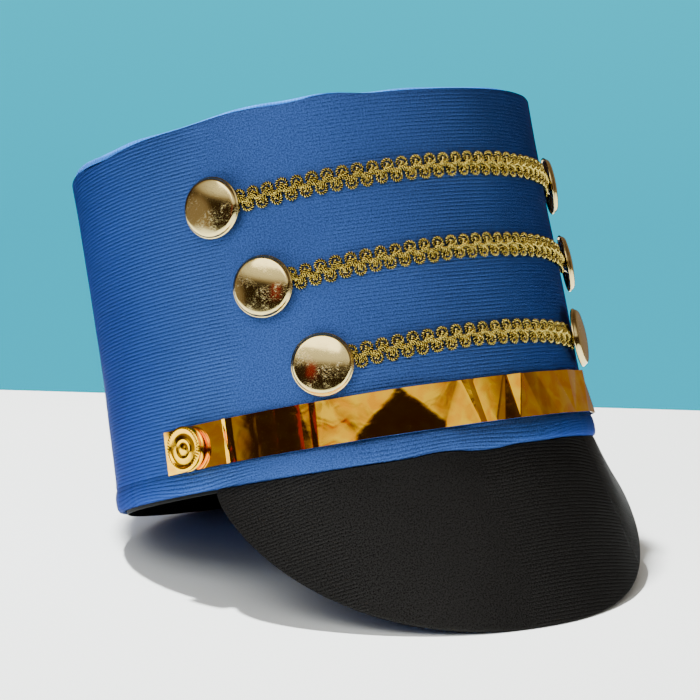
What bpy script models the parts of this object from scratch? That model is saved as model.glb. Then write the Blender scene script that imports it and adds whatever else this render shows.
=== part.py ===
"""Shako hat: oval crown, drooping visor, foil band, gimp braids and domed buttons.

The hat is modelled upright in its own frame, with the rim's oval round the origin, the
front at -Y and +Z up the crown. The whole hat is then leaned back, as it rests by itself
on the back of its rim and the front edge of its visor.
Angles round the crown start at the front and grow towards +X, the wearer's left.
"""
import math

import bmesh
import bpy
from mathutils import Matrix, Vector

# Crown: the outside of the oval side wall
BASE_WIDTH = 0.1845
BASE_LENGTH = 0.1932
TOP_WIDTH = 0.1748
TOP_LENGTH = 0.2002
TOP_SET_BACK = 0.0038
CROWN_HEIGHT = 0.1317
SADDLE = 0.0011
WAIST = 0.0007
WALL = 0.0026
WALL_EDGE = 0.0008
HEM_HEIGHT = 0.0065
HEM_BULGE = 0.0005
CLEARANCE = 0.0003
ROUND_STEPS = 64

# Top panel, sweatband and visor
PANEL_THICK = 0.0024
PANEL_ROUND = 0.0008
PANEL_PUFF = 0.0020
FLAT_REACH = 0.6
SWEATBAND_THICK = 0.0010
SWEATBAND_HEIGHT = 0.0280
SWEATBAND_SHOW = 0.0008
VISOR_LENGTH = 0.0668
VISOR_CORNER = 0.0016
VISOR_WALL = 0.0020
VISOR_INSET = 0.0006
VISOR_TIP = 0.0006
VISOR_SPREAD = 67.0
VISOR_DROOP_FRONT = 78.0
VISOR_DROOP_SIDE = 58.0
VISOR_FLARE_POWER = 5.0
VISOR_SQUARENESS = 2.3
VISOR_FULLNESS = 0.87
RESTING_SHARE = 0.17

# Foil band and its two end buttons
BAND_BOTTOM = 0.0091
BAND_WIDTH = 0.0159
BAND_DROOP = 0.0010
BAND_THICK = 0.0010
BAND_SPREAD = 80.5
FOLD_DEPTH = 0.0016
BAND_BUTTON_ANGLE = 72.6
BAND_BUTTON_RADIUS = 0.0083
BAND_BUTTON_THICK = 0.0034

# Gimp braids
BRAID_WIDTH = 0.0090
BRAID_PITCH = 0.0055
BRAID_NOTCH = 0.0015
BRAID_EDGE = 0.0011
BRAID_CORE = 0.0017

# Domed buttons
DOME_RADIUS = 0.0113
DOME_STANDOFF = 0.0025
DOME_RIM = 0.0009
DOME_RISE = 0.0024
SHANK_RADIUS = 0.0030
BUTTON_STEPS = 24

# Edge waves: angle and spread in degrees, lift as a share of the crown's height
RIM_WAVES = (
    # angle, spread, lift
    (-15.5, 8.5, 0.0060),
    (-3.0, 9.0, -0.0062),
    (24.0, 14.0, 0.0020),
)
TOP_WAVES = (
    # angle, spread, lift
    (-92.0, 18.0, -0.0120),
    (-49.0, 17.0, 0.0090),
    (-29.0, 12.0, 0.0120),
    (8.0, 30.0, -0.0030),
    (128.0, 34.0, 0.0060),
)

# Foil folds: angle in degrees, then how far the foil's top and bottom edges stand off the
# crown, as shares of the fold depth
BAND_FOLDS = (
    # angle, top, bottom
    (-66.0, 0.00, 0.00),
    (-62.0, 0.55, 0.50),
    (-60.0, 0.10, 0.15),
    (-54.0, 0.30, 0.00),
    (-47.0, 0.00, 0.30),
    (-39.3, 1.00, 0.05),
    (-33.5, 0.10, 1.00),
    (-23.0, 1.00, 0.10),
    (-13.0, 0.15, 0.80),
    (-7.0, 0.00, 0.05),
    (-4.5, 0.80, 0.70),
    (2.5, 0.30, 0.20),
    (8.0, 0.90, 0.00),
    (11.0, 0.00, 0.50),
    (14.5, 0.60, 0.60),
    (28.0, 0.45, 0.40),
    (38.5, 0.00, 0.05),
    (42.0, 0.45, 0.30),
    (52.0, 0.05, 0.55),
    (60.0, 0.60, 0.05),
    (66.0, 0.00, 0.00),
)

# Braids with the two buttons that end each one: heights and droop are shares of the
# crown's height, and the two angles are in degrees from the front
BRAIDS = (
    # name, height, droop, wearer's right, wearer's left
    ("upper", 0.782, 0.0235, -57.6, 57.0),
    ("middle", 0.553, 0.0345, -48.5, 55.0),
    ("lower", 0.309, 0.0260, -38.1, 40.0),
)


FINISHES = {
    # linear colour, roughness, metallic
    "blue_satin": ((0.013, 0.075, 0.342), 0.55, 0.0),
    "black_satin": ((0.006, 0.006, 0.007), 0.50, 0.0),
    "black_tape": ((0.008, 0.008, 0.009), 0.80, 0.0),
    "gold_foil": ((0.83, 0.50, 0.09), 0.15, 1.0),
    "gold_thread": ((0.62, 0.40, 0.10), 0.40, 0.8),
    "gold_plate": ((0.86, 0.67, 0.33), 0.20, 1.0),
    "stamped_gold": ((0.83, 0.52, 0.12), 0.30, 1.0),
}


def clear_scene():
    for obj in list(bpy.data.objects):
        bpy.data.objects.remove(obj, do_unlink=True)


def new_collection(name):
    collection = bpy.data.collections.new(name)
    bpy.context.scene.collection.children.link(collection)
    return collection


def paint(name, finish):
    """Material of one piece, in one of the hat's finishes."""
    color, roughness, metallic = FINISHES[finish]
    material = bpy.data.materials.new(f"{name}_{finish}")
    material.use_nodes = True
    shader = material.node_tree.nodes["Principled BSDF"]
    shader.inputs["Base Color"].default_value = (*color, 1.0)
    shader.inputs["Roughness"].default_value = roughness
    shader.inputs["Metallic"].default_value = metallic
    return material


def wave(rows, degrees):
    """Height of the edge waves in rows at an angle, which turns all the way round."""
    lift = 0.0
    for center, spread, share in rows:
        away = abs((degrees - center + 180.0) % 360.0 - 180.0)
        if away < spread:
            lift += share * CROWN_HEIGHT * math.cos(0.5 * math.pi * away / spread) ** 2
    return lift


def wall_point(degrees, height, inset=0.0):
    """Point of the crown's outside at a height, moved inwards by inset."""
    angle = math.radians(degrees)
    share = height / CROWN_HEIGHT
    draw_in = 4.0 * WAIST * share * (1.0 - share)
    half_width = 0.5 * (BASE_WIDTH + (TOP_WIDTH - BASE_WIDTH) * share) - draw_in
    half_length = 0.5 * (BASE_LENGTH + (TOP_LENGTH - BASE_LENGTH) * share) - draw_in
    outward = Vector((half_length * math.sin(angle), -half_width * math.cos(angle), 0.0))
    outward.normalize()
    point = Vector((half_width * math.sin(angle), -half_length * math.cos(angle), height))
    point.y += TOP_SET_BACK * share
    point.z += SADDLE * (math.sin(angle) ** 2 - 0.5)
    return point - outward * inset


def wall_frame(degrees, height):
    """Matrix at a point of the wall: Z points outwards, X round the crown."""
    point = wall_point(degrees, height)
    around = wall_point(degrees + 0.5, height) - wall_point(degrees - 0.5, height)
    upward = wall_point(degrees, height + 0.001) - wall_point(degrees, height - 0.001)
    x_axis = around.normalized()
    z_axis = x_axis.cross(upward).normalized()
    y_axis = z_axis.cross(x_axis)
    rotation = Matrix((x_axis, y_axis, z_axis)).transposed().to_4x4()
    return Matrix.Translation(point) @ rotation


def rim_height(degrees):
    return wave(RIM_WAVES, degrees)


def seam_height(degrees):
    """Top of the side wall, where the top panel is sewn on."""
    return CROWN_HEIGHT - PANEL_THICK - CLEARANCE + wave(TOP_WAVES, degrees)


def full_round():
    return [360.0 * step / ROUND_STEPS for step in range(ROUND_STEPS)]


def add_object(name, mesh, finish, collection, parent):
    mesh.materials.append(paint(name, finish))
    obj = bpy.data.objects.new(name, mesh)
    collection.objects.link(obj)
    obj.parent = parent
    return obj


def loft(name, sections, is_ring):
    """Skin equal closed sections. A ring joins its last section to its first."""
    mesh = bmesh.new()
    rows = [[mesh.verts.new(point) for point in section] for section in sections]
    count = len(rows[0])
    pairs = list(zip(rows, rows[1:]))
    if is_ring:
        pairs.append((rows[-1], rows[0]))
    for first, second in pairs:
        for index in range(count):
            after = (index + 1) % count
            mesh.faces.new((first[index], first[after], second[after], second[index]))
    if not is_ring:
        mesh.faces.new(rows[0])
        mesh.faces.new(rows[-1])
    bmesh.ops.recalc_face_normals(mesh, faces=mesh.faces)
    data = bpy.data.meshes.new(name)
    mesh.to_mesh(data)
    mesh.free()
    data.shade_smooth()
    data.set_sharp_from_angle(angle=math.radians(35))
    return data


def side_wall_section(degrees):
    """Side wall cut at one angle, down the outside, round the hem and up the inside."""
    low = rim_height(degrees)
    high = seam_height(degrees)
    rise = high - low
    rows = (
        # inset, height
        (WALL_EDGE, high),
        (0.0, high - WALL_EDGE),
        (0.0, low + 0.72 * rise),
        (0.0, low + 0.44 * rise),
        (0.0, low + 0.22 * rise),
        (0.0, low + HEM_HEIGHT),
        (-HEM_BULGE, low + 0.5 * HEM_HEIGHT),
        (-0.4 * HEM_BULGE, low + 0.7 * WALL_EDGE),
        (0.35 * WALL, low),
        (WALL - WALL_EDGE, low),
        (WALL, low + WALL_EDGE),
        (WALL, low + 0.45 * rise),
        (WALL, high),
    )
    return [wall_point(degrees, height, inset) for inset, height in rows]


def make_crown_side():
    return loft("crown_side", [side_wall_section(degrees) for degrees in full_round()], True)


def make_sweatband():
    outer = WALL + CLEARANCE
    inner = outer + SWEATBAND_THICK
    sections = []
    for degrees in full_round():
        low = rim_height(degrees) - SWEATBAND_SHOW
        rows = (
            # inset, height
            (outer, SWEATBAND_HEIGHT),
            (outer, low),
            (inner, low),
            (inner, SWEATBAND_HEIGHT),
        )
        sections.append([wall_point(degrees, height, inset) for inset, height in rows])
    return loft("sweatband", sections, True)


def make_crown_top():
    """Panel with a flat underside, rounded edge and slightly puffed top."""
    under = CROWN_HEIGHT - PANEL_THICK
    rows = (
        # reach from the middle, inset, rise above the underside
        (FLAT_REACH, 0.0, 0.0),
        (0.92, 0.0, 0.0),
        (1.00, PANEL_ROUND, 0.0),
        (1.00, 0.0, PANEL_ROUND),
        (1.00, 0.0, PANEL_THICK - PANEL_ROUND),
        (1.00, PANEL_ROUND, PANEL_THICK),
        (0.94, 0.0, PANEL_THICK + 0.25 * PANEL_PUFF),
        (0.76, 0.0, PANEL_THICK + 0.65 * PANEL_PUFF),
        (0.42, 0.0, PANEL_THICK + 0.95 * PANEL_PUFF),
    )
    middle = Vector((0.0, TOP_SET_BACK, under))
    mesh = bmesh.new()
    rings = []
    for reach, inset, rise in rows:
        ring = []
        for degrees in full_round():
            edge = wall_point(degrees, under, inset)
            edge.z += wave(TOP_WAVES, degrees)
            point = middle + (edge - middle) * reach
            follow = max(0.0, (reach - FLAT_REACH) / (1.0 - FLAT_REACH))
            point.z = middle.z + (edge.z - middle.z) * follow + rise
            ring.append(mesh.verts.new(point))
        rings.append(ring)
    low_pole = mesh.verts.new(middle)
    high_pole = mesh.verts.new(middle + Vector((0.0, 0.0, PANEL_THICK + PANEL_PUFF)))
    for index in range(ROUND_STEPS):
        after = (index + 1) % ROUND_STEPS
        for first, second in zip(rings, rings[1:]):
            mesh.faces.new((first[index], first[after], second[after], second[index]))
        mesh.faces.new((low_pole, rings[0][after], rings[0][index]))
        mesh.faces.new((high_pole, rings[-1][index], rings[-1][after]))
    bmesh.ops.recalc_face_normals(mesh, faces=mesh.faces)
    data = bpy.data.meshes.new("crown_top")
    mesh.to_mesh(data)
    mesh.free()
    data.shade_smooth()
    data.set_sharp_from_angle(angle=math.radians(35))
    return data


def visor_ruling(share, inset):
    """Start and direction of the straight line down the visor at a share of its spread."""
    degrees = share * VISOR_SPREAD
    start = wall_point(degrees, -CLEARANCE, inset)
    outward = (start - wall_point(degrees, -CLEARANCE, inset + 0.01)).normalized()
    flare = (VISOR_DROOP_FRONT - VISOR_DROOP_SIDE) * abs(share) ** VISOR_FLARE_POWER
    droop = math.radians(VISOR_DROOP_FRONT - flare)
    return start, outward * math.cos(droop) - Vector((0.0, 0.0, 1.0)) * math.sin(droop)


def visor_reach(share):
    """Length of the visor at a share of its spread, before it is levelled."""
    outline = (1.0 - abs(share) ** VISOR_SQUARENESS) ** VISOR_FULLNESS
    return VISOR_CORNER + (VISOR_LENGTH - VISOR_CORNER) * outline


def resting_plane():
    """Slope and front point of the plane under the back of the rim and the visor's edge."""
    start, along = visor_ruling(RESTING_SHARE, VISOR_INSET + 0.5 * VISOR_WALL)
    front = start + along * visor_reach(RESTING_SHARE)
    slopes = [(point.z - front.z) / (point.y - front.y) for point in side_wall_section(180.0)]
    return min(slopes), front


def make_visor():
    """Bent sheet whose front edge is level where the hat rests on it."""
    slope, front = resting_plane()
    rows = (
        # inset through the visor, share of its length, shortening for the rounded edge
        (VISOR_INSET, 0.0, 0.0),
        (VISOR_INSET, 0.35, 0.0),
        (VISOR_INSET, 0.70, 0.0),
        (VISOR_INSET, 1.0, VISOR_TIP),
        (VISOR_INSET + 0.5 * VISOR_WALL, 1.0, 0.0),
        (VISOR_INSET + VISOR_WALL, 1.0, VISOR_TIP),
        (VISOR_INSET + VISOR_WALL, 0.70, 0.0),
        (VISOR_INSET + VISOR_WALL, 0.35, 0.0),
        (VISOR_INSET + VISOR_WALL, 0.0, 0.0),
    )
    steps = 40
    sections = []
    for step in range(steps + 1):
        share = math.sin(0.5 * math.pi * (2.0 * step / steps - 1.0) * 0.985)
        section = []
        for inset, part, shortening in rows:
            start, along = visor_ruling(share, inset)
            length = visor_reach(share) * part - shortening
            level = (front.z + slope * (start.y - front.y) - start.z) / (along.z - slope * along.y)
            point = start + along * min(length, level)
            point.z += (1.0 - part) * rim_height(share * VISOR_SPREAD)
            section.append(point)
        sections.append(section)
    return loft("visor", sections, False)


def fold_lift(degrees):
    """How far the foil's top and bottom edges stand off at an angle, in metres."""
    rows = ((-BAND_SPREAD, 0.0, 0.0), *BAND_FOLDS, (BAND_SPREAD, 0.0, 0.0))
    for before, after in zip(rows, rows[1:]):
        if before[0] <= degrees <= after[0]:
            part = (degrees - before[0]) / (after[0] - before[0])
            top = before[1] + (after[1] - before[1]) * part
            bottom = before[2] + (after[2] - before[2]) * part
            return top * FOLD_DEPTH, bottom * FOLD_DEPTH
    return 0.0, 0.0


def band_height(degrees):
    """Bottom edge of the foil band, which droops a little towards its ends."""
    return BAND_BOTTOM - BAND_DROOP * (degrees / BAND_SPREAD) ** 2


def make_front_band():
    angles = {round(degrees, 3) for degrees, _, _ in BAND_FOLDS}
    plain_steps = 34
    for step in range(plain_steps + 1):
        degrees = BAND_SPREAD * (2.0 * step / plain_steps - 1.0)
        if all(abs(degrees - fold) > 1.4 for fold in angles):
            angles.add(round(degrees, 3))
    sections = []
    for degrees in sorted(angles):
        top_lift, bottom_lift = fold_lift(degrees)
        low = band_height(degrees)
        high = low + BAND_WIDTH
        rows = (
            # outward, height
            (CLEARANCE + bottom_lift, low),
            (CLEARANCE + top_lift, high),
            (CLEARANCE + BAND_THICK + top_lift, high),
            (CLEARANCE + BAND_THICK + bottom_lift, low),
        )
        sections.append([wall_point(degrees, height, -outward) for outward, height in rows])
    return loft("front_band", sections, False)


def even_angles(height, first, last, pitch, per_pitch):
    """Angles at even spacing along the wall, a whole number of pitches from first to last."""
    samples = 360
    points = []
    for step in range(samples + 1):
        degrees = first + (last - first) * step / samples
        points.append((degrees, wall_point(degrees, height)))
    lengths = [0.0]
    for (_, before), (_, after) in zip(points, points[1:]):
        lengths.append(lengths[-1] + (after - before).length)
    loops = max(1, round(lengths[-1] / pitch))
    stations = loops * per_pitch
    angles = []
    index = 0
    for station in range(stations + 1):
        target = lengths[-1] * station / stations
        while index < samples - 1 and lengths[index + 1] < target:
            index += 1
        part = (target - lengths[index]) / (lengths[index + 1] - lengths[index])
        angles.append(points[index][0] + (points[index + 1][0] - points[index][0]) * part)
    return angles


def braid_height(degrees, height, droop, right, left):
    """The braid droops a little towards its buttons."""
    half_spread = 0.5 * (left - right)
    middle = 0.5 * (left + right)
    return (height - droop * ((degrees - middle) / half_spread) ** 2) * CROWN_HEIGHT


def make_braid(name, height, droop, right, left):
    """Woven strip with a raised core between two rows of loops, half a pitch apart."""
    under_button = math.degrees((SHANK_RADIUS + 2.0 * CLEARANCE) / (0.5 * BASE_WIDTH))
    first = right + under_button
    last = left - under_button
    per_pitch = 4
    half = 0.5 * BRAID_WIDTH
    loop_edge = (0.0, 0.3 * BRAID_NOTCH, BRAID_NOTCH, 0.3 * BRAID_NOTCH)
    sections = []
    angles = even_angles(height * CROWN_HEIGHT, first, last, BRAID_PITCH, per_pitch)
    for station, degrees in enumerate(angles):
        middle = braid_height(degrees, height, droop, right, left)
        upper = half - loop_edge[station % per_pitch]
        lower = half - loop_edge[(station + per_pitch // 2) % per_pitch]
        rows = (
            # outward, height
            (CLEARANCE, middle - lower),
            (CLEARANCE + BRAID_EDGE, middle - lower),
            (CLEARANCE + BRAID_CORE, middle),
            (CLEARANCE + BRAID_EDGE, middle + upper),
            (CLEARANCE, middle + upper),
        )
        sections.append([wall_point(degrees, place, -outward) for outward, place in rows])
    return loft(name, sections, False)


def turned(name, profile, finish, collection, parent, matrix):
    """Round piece: a profile, listed down its outer side, turned about Z."""
    mesh = bpy.data.meshes.new(name)
    points = [(radius, 0.0, height) for radius, height in profile]
    edges = [(index, index + 1) for index in range(len(points) - 1)]
    mesh.from_pydata(points, edges, [])
    obj = add_object(name, mesh, finish, collection, parent)
    obj.matrix_local = matrix
    screw = obj.modifiers.new("Turn", "SCREW")
    screw.steps = BUTTON_STEPS
    screw.render_steps = BUTTON_STEPS
    screw.use_merge_vertices = True
    screw.merge_threshold = 0.0001
    screw.use_smooth_shade = True
    return obj


def dome_profile():
    """Button from the crown of its dome down to the foot of its shank."""
    under = DOME_STANDOFF - CLEARANCE
    rim_top = under + DOME_RIM
    inside = DOME_RADIUS - 0.35 * DOME_RIM
    ball = (inside ** 2 + DOME_RISE ** 2) / (2.0 * DOME_RISE)
    profile = [(0.0, rim_top + DOME_RISE)]
    for share in (0.38, 0.68, 0.88):
        radius = inside * share
        drop = ball - math.sqrt(ball ** 2 - radius ** 2)
        profile.append((radius, rim_top + DOME_RISE - drop))
    profile.extend((
        (inside, rim_top),
        (DOME_RADIUS, rim_top - 0.45 * DOME_RIM),
        (DOME_RADIUS - 0.3 * DOME_RIM, under),
        (SHANK_RADIUS, under),
        (SHANK_RADIUS, 0.0),
        (0.0, 0.0),
    ))
    return profile


def band_button_profile():
    """Flat disc with a raised rim and plain raised rings."""
    radius = BAND_BUTTON_RADIUS
    thick = BAND_BUTTON_THICK
    return (
        (0.0, thick),
        (0.16 * radius, 0.97 * thick),
        (0.26 * radius, 0.84 * thick),
        (0.70 * radius, 0.82 * thick),
        (0.80 * radius, thick),
        (0.92 * radius, thick),
        (radius, 0.80 * thick),
        (radius, 0.15 * thick),
        (0.93 * radius, 0.0),
        (0.0, 0.0),
    )


def lowest_and_middle(collection):
    """Middle of the hat's box across and along, and its lowest point, as it stands."""
    bpy.context.view_layer.update()
    depsgraph = bpy.context.evaluated_depsgraph_get()
    low = Vector((math.inf, math.inf, math.inf))
    high = -low
    for obj in collection.objects:
        if obj.type != "MESH":
            continue
        evaluated = obj.evaluated_get(depsgraph)
        mesh = evaluated.to_mesh()
        for vertex in mesh.vertices:
            point = evaluated.matrix_world @ vertex.co
            for axis in range(3):
                low[axis] = min(low[axis], point[axis])
                high[axis] = max(high[axis], point[axis])
        evaluated.to_mesh_clear()
    middle = 0.5 * (low + high)
    return Vector((middle.x, middle.y, low.z))


def lean_back(hat, collection):
    """Lean the hat back onto its resting plane, with the box's foot at the origin."""
    slope, _ = resting_plane()
    hat.rotation_euler = (-math.atan(slope), 0.0, 0.0)
    hat.location = -lowest_and_middle(collection)
    bpy.context.view_layer.update()


def build():
    clear_scene()
    collection = new_collection("shako_hat")
    hat = bpy.data.objects.new("hat_lean", None)
    collection.objects.link(hat)

    add_object("crown_side", make_crown_side(), "blue_satin", collection, hat)
    add_object("crown_top", make_crown_top(), "blue_satin", collection, hat)
    add_object("sweatband", make_sweatband(), "black_tape", collection, hat)
    add_object("visor", make_visor(), "black_satin", collection, hat)
    add_object("front_band", make_front_band(), "gold_foil", collection, hat)

    seat = Matrix.Translation((0.0, 0.0, 2.0 * CLEARANCE + BAND_THICK))
    for side, sign in (("right", -1.0), ("left", 1.0)):
        middle = band_height(BAND_BUTTON_ANGLE) + 0.5 * BAND_WIDTH
        frame = wall_frame(sign * BAND_BUTTON_ANGLE, middle) @ seat
        profile = band_button_profile()
        turned(f"band_button_{side}", profile, "stamped_gold", collection, hat, frame)

    foot = Matrix.Translation((0.0, 0.0, CLEARANCE))
    for name, height, droop, right, left in BRAIDS:
        mesh = make_braid(f"braid_{name}", height, droop, right, left)
        add_object(f"braid_{name}", mesh, "gold_thread", collection, hat)
        for side, degrees in (("right", right), ("left", left)):
            place = braid_height(degrees, height, droop, right, left)
            frame = wall_frame(degrees, place) @ foot
            button = f"dome_button_{name}_{side}"
            turned(button, dome_profile(), "gold_plate", collection, hat, frame)

    lean_back(hat, collection)


build()
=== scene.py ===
"""Looks of the shako hat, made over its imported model.

Cloth, foil, cord and metal pieces are built in the hat's own upright frame, where the rim's
oval is round the origin, the front is at -Y and +Z runs up the crown. Each is then leaned
back into the model's frame. Angles round the crown start at the front and grow towards +X,
the wearer's left. Lengths are in metres and cloth maps are in metres too.
"""
import math

import bpy
import numpy as np
from mathutils import Matrix, Vector, noise
from mathutils.geometry import delaunay_2d_cdt


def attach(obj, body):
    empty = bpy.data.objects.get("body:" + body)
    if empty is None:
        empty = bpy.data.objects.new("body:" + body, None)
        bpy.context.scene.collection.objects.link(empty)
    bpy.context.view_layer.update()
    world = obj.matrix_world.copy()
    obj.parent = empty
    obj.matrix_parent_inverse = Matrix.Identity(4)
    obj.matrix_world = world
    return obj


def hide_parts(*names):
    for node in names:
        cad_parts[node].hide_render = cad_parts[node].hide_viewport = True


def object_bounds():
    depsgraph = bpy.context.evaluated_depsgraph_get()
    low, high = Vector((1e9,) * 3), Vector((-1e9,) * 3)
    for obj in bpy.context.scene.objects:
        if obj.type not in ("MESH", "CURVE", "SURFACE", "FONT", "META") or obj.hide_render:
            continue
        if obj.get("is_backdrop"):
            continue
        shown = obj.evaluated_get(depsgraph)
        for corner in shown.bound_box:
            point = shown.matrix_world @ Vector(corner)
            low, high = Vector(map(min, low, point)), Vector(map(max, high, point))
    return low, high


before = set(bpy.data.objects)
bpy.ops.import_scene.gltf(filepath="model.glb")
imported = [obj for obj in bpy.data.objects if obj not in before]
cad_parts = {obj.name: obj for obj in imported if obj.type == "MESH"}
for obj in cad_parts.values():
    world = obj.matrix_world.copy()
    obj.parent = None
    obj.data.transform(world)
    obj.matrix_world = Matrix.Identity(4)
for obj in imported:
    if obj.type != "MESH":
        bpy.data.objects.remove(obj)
cad_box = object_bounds()

# How the hat lies: leaned back on its rim and on the visor's edge
LEAN = -17.72954
HAT_SHIFT = (0.0, -0.006975, 0.029812)

# Crown
BASE_WIDTH = 0.1845
BASE_LENGTH = 0.1932
TOP_WIDTH = 0.1748
TOP_LENGTH = 0.2002
TOP_SET_BACK = 0.0038
CROWN_HEIGHT = 0.1317
SADDLE = 0.0011
WAIST = 0.0007
WALL = 0.0026
CLOTH = 0.0007
SEAM_GAP = 0.0002
HEM_HEIGHT = 0.0086
HEM_BULGE = 0.0006
CLEARANCE = 0.0003
PANEL_THICK = 0.0024
PANEL_PUFF = 0.0020
SWEATBAND_THICK = 0.0010
SWEATBAND_HEIGHT = 0.0280
SWEATBAND_SHOW = 0.0009
SWEATBAND_SWAY = 0.0004
SEAM_SPREAD = 0.45
SEAM_DEPTH = 0.0005
ROUND_STEPS = 192
HEM_PUCKERS = (
    # depth, waves round the rim, start
    (0.00012, 97.0, 0.0),
    (0.00010, 61.0, 1.0),
)
HEM_SLANTS = (
    # shift of the ribs, radians to a metre round the rim, start
    (0.0016, 95.0, 0.0),
    (0.0010, 43.0, 2.0),
)

# Visor
VISOR_LENGTH = 0.0668
VISOR_CORNER = 0.0016
VISOR_WALL = 0.0020
VISOR_INSET = 0.0006
VISOR_SPREAD = 67.0
VISOR_DROOP_FRONT = 78.0
VISOR_DROOP_SIDE = 58.0
VISOR_FLARE_POWER = 5.0
VISOR_SQUARENESS = 2.3
VISOR_FULLNESS = 0.87
VISOR_STEPS = 120
RESTING_SHARE = 0.17

# Foil band and its end buttons
BAND_BOTTOM = 0.0091
BAND_WIDTH = 0.0159
BAND_DROOP = 0.0010
BAND_SPREAD = 80.5
FOIL_THICK = 0.00025
FOLD_DEPTH = 0.0025
FOIL_PILLOW = 0.02
FOIL_CUTS = 12
WIDE_FACET = 8.0
FOIL_END = 6.0
BAND_BUTTON_ANGLE = 72.6
BAND_BUTTON_RADIUS = 0.0083
BAND_BUTTON_THICK = 0.0034
BAND_BUTTON_SEAT = 0.0016
BAND_BUTTON_STEPS = 176
NOTCHES = 44.0
NOTCH_SLANT = 26.0
NOTCH_DEPTH = 0.00016
NOTCH_REACH = 0.004
RIM_MIDDLE = 0.91
RIM_SPREAD = 0.055

# Gimp braid
LOOP_PITCH = 0.0055
LOOP_RADIUS = 0.00190
ROW_OFFSET = 0.00215
CORD_RADIUS = 0.00061
CORD_TWIST = 0.0017
CORD_STEP = 0.00021
CORD_OVAL = (1.20, 0.52, 1.0)
COIL_START = 0.40
COIL_END = 0.10
COIL_TURNS = 1.25
COIL_RISE = 0.0002
COIL_SINK = 0.00025
CORE_SHARE = 0.80
CORE_LIFT = 0.00015
CORE_SWAY = 0.00042
CORE_CROSSING = 0.00030
CORE_STEPS = 16
TAIL_CURVES = (
    # start, its handle, the end's handle, end: two shares of the loop's radius, and a height
    ((-2.5, -1.45, 0.0004), (-1.5, -1.15, 0.0012), (0.1, -0.95, 0.0012), (0.95, -0.25, 0.0002)),
    ((-1.7, -1.60, 0.0004), (-0.9, -1.25, 0.0010), (-0.3, -0.60, 0.0008), (0.10, 0.20, 0.0)),
)

# Domed buttons
DOME_RADIUS = 0.0113
DOME_STANDOFF = 0.0025
DOME_RIM = 0.0009
DOME_RISE = 0.0024
SHANK_RADIUS = 0.0030
DOME_STEPS = 72

# Cloth: the ribs of the satin and the knit columns between them. The real columns are
# about 0.3 mm apart, and are drawn at 0.7 mm so that they show at all.
RIB_PITCH = 0.00132
KNIT_PITCH = 0.0007

# Edge waves: angle and spread in degrees, lift in metres
RIM_WAVES = (
    # angle, spread, lift
    (-15.5, 8.5, 0.0008),
    (-3.0, 9.0, -0.0008),
    (24.0, 14.0, 0.0003),
)
TOP_WAVES = (
    # angle, spread, lift
    (-92.0, 18.0, -0.0016),
    (-49.0, 17.0, 0.0012),
    (-29.0, 12.0, 0.0016),
    (8.0, 30.0, -0.0004),
    (128.0, 34.0, 0.0008),
)
PANEL_PEEKS = (
    # angle, spread, lift
    (-97.0, 28.0, 0.0027),
    (-38.0, 30.0, 0.0009),
    (150.0, 30.0, 0.0006),
)
WALL_DENTS = (
    # angle, its spread, height, its spread, depth
    (60.0, 16.0, 0.0300, 0.0130, 0.0010),
    (-100.0, 26.0, 0.0700, 0.0400, 0.0008),
    (150.0, 30.0, 0.0500, 0.0450, 0.0012),
    (-20.0, 18.0, 0.1180, 0.0160, 0.0006),
    (25.0, 22.0, 0.0880, 0.0200, 0.0005),
)

# Small smooth unevenness of the cloth and the foil
SIDE_UNEVEN = (
    # size of the swells, depth, shift within the noise
    (0.021, 0.00030, 0.0),
    (0.009, 0.00008, 0.4),
)
TOP_UNEVEN = ((0.030, 0.0009, 0.0), (0.011, 0.00018, 0.7))
VISOR_UNEVEN = ((0.024, 0.00035, 0.0), (0.010, 0.00010, 0.3))
FOIL_UNEVEN = ((0.012, 0.00010, 0.0), (0.0055, 0.00002, 2.0))

# Braids with the two buttons that end each one
BRAIDS = (
    # name, height, droop, wearer's right, wearer's left
    ("upper", 0.782, 0.0235, -57.6, 57.0),
    ("middle", 0.553, 0.0345, -48.5, 55.0),
    ("lower", 0.309, 0.0260, -38.1, 40.0),
)

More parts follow.
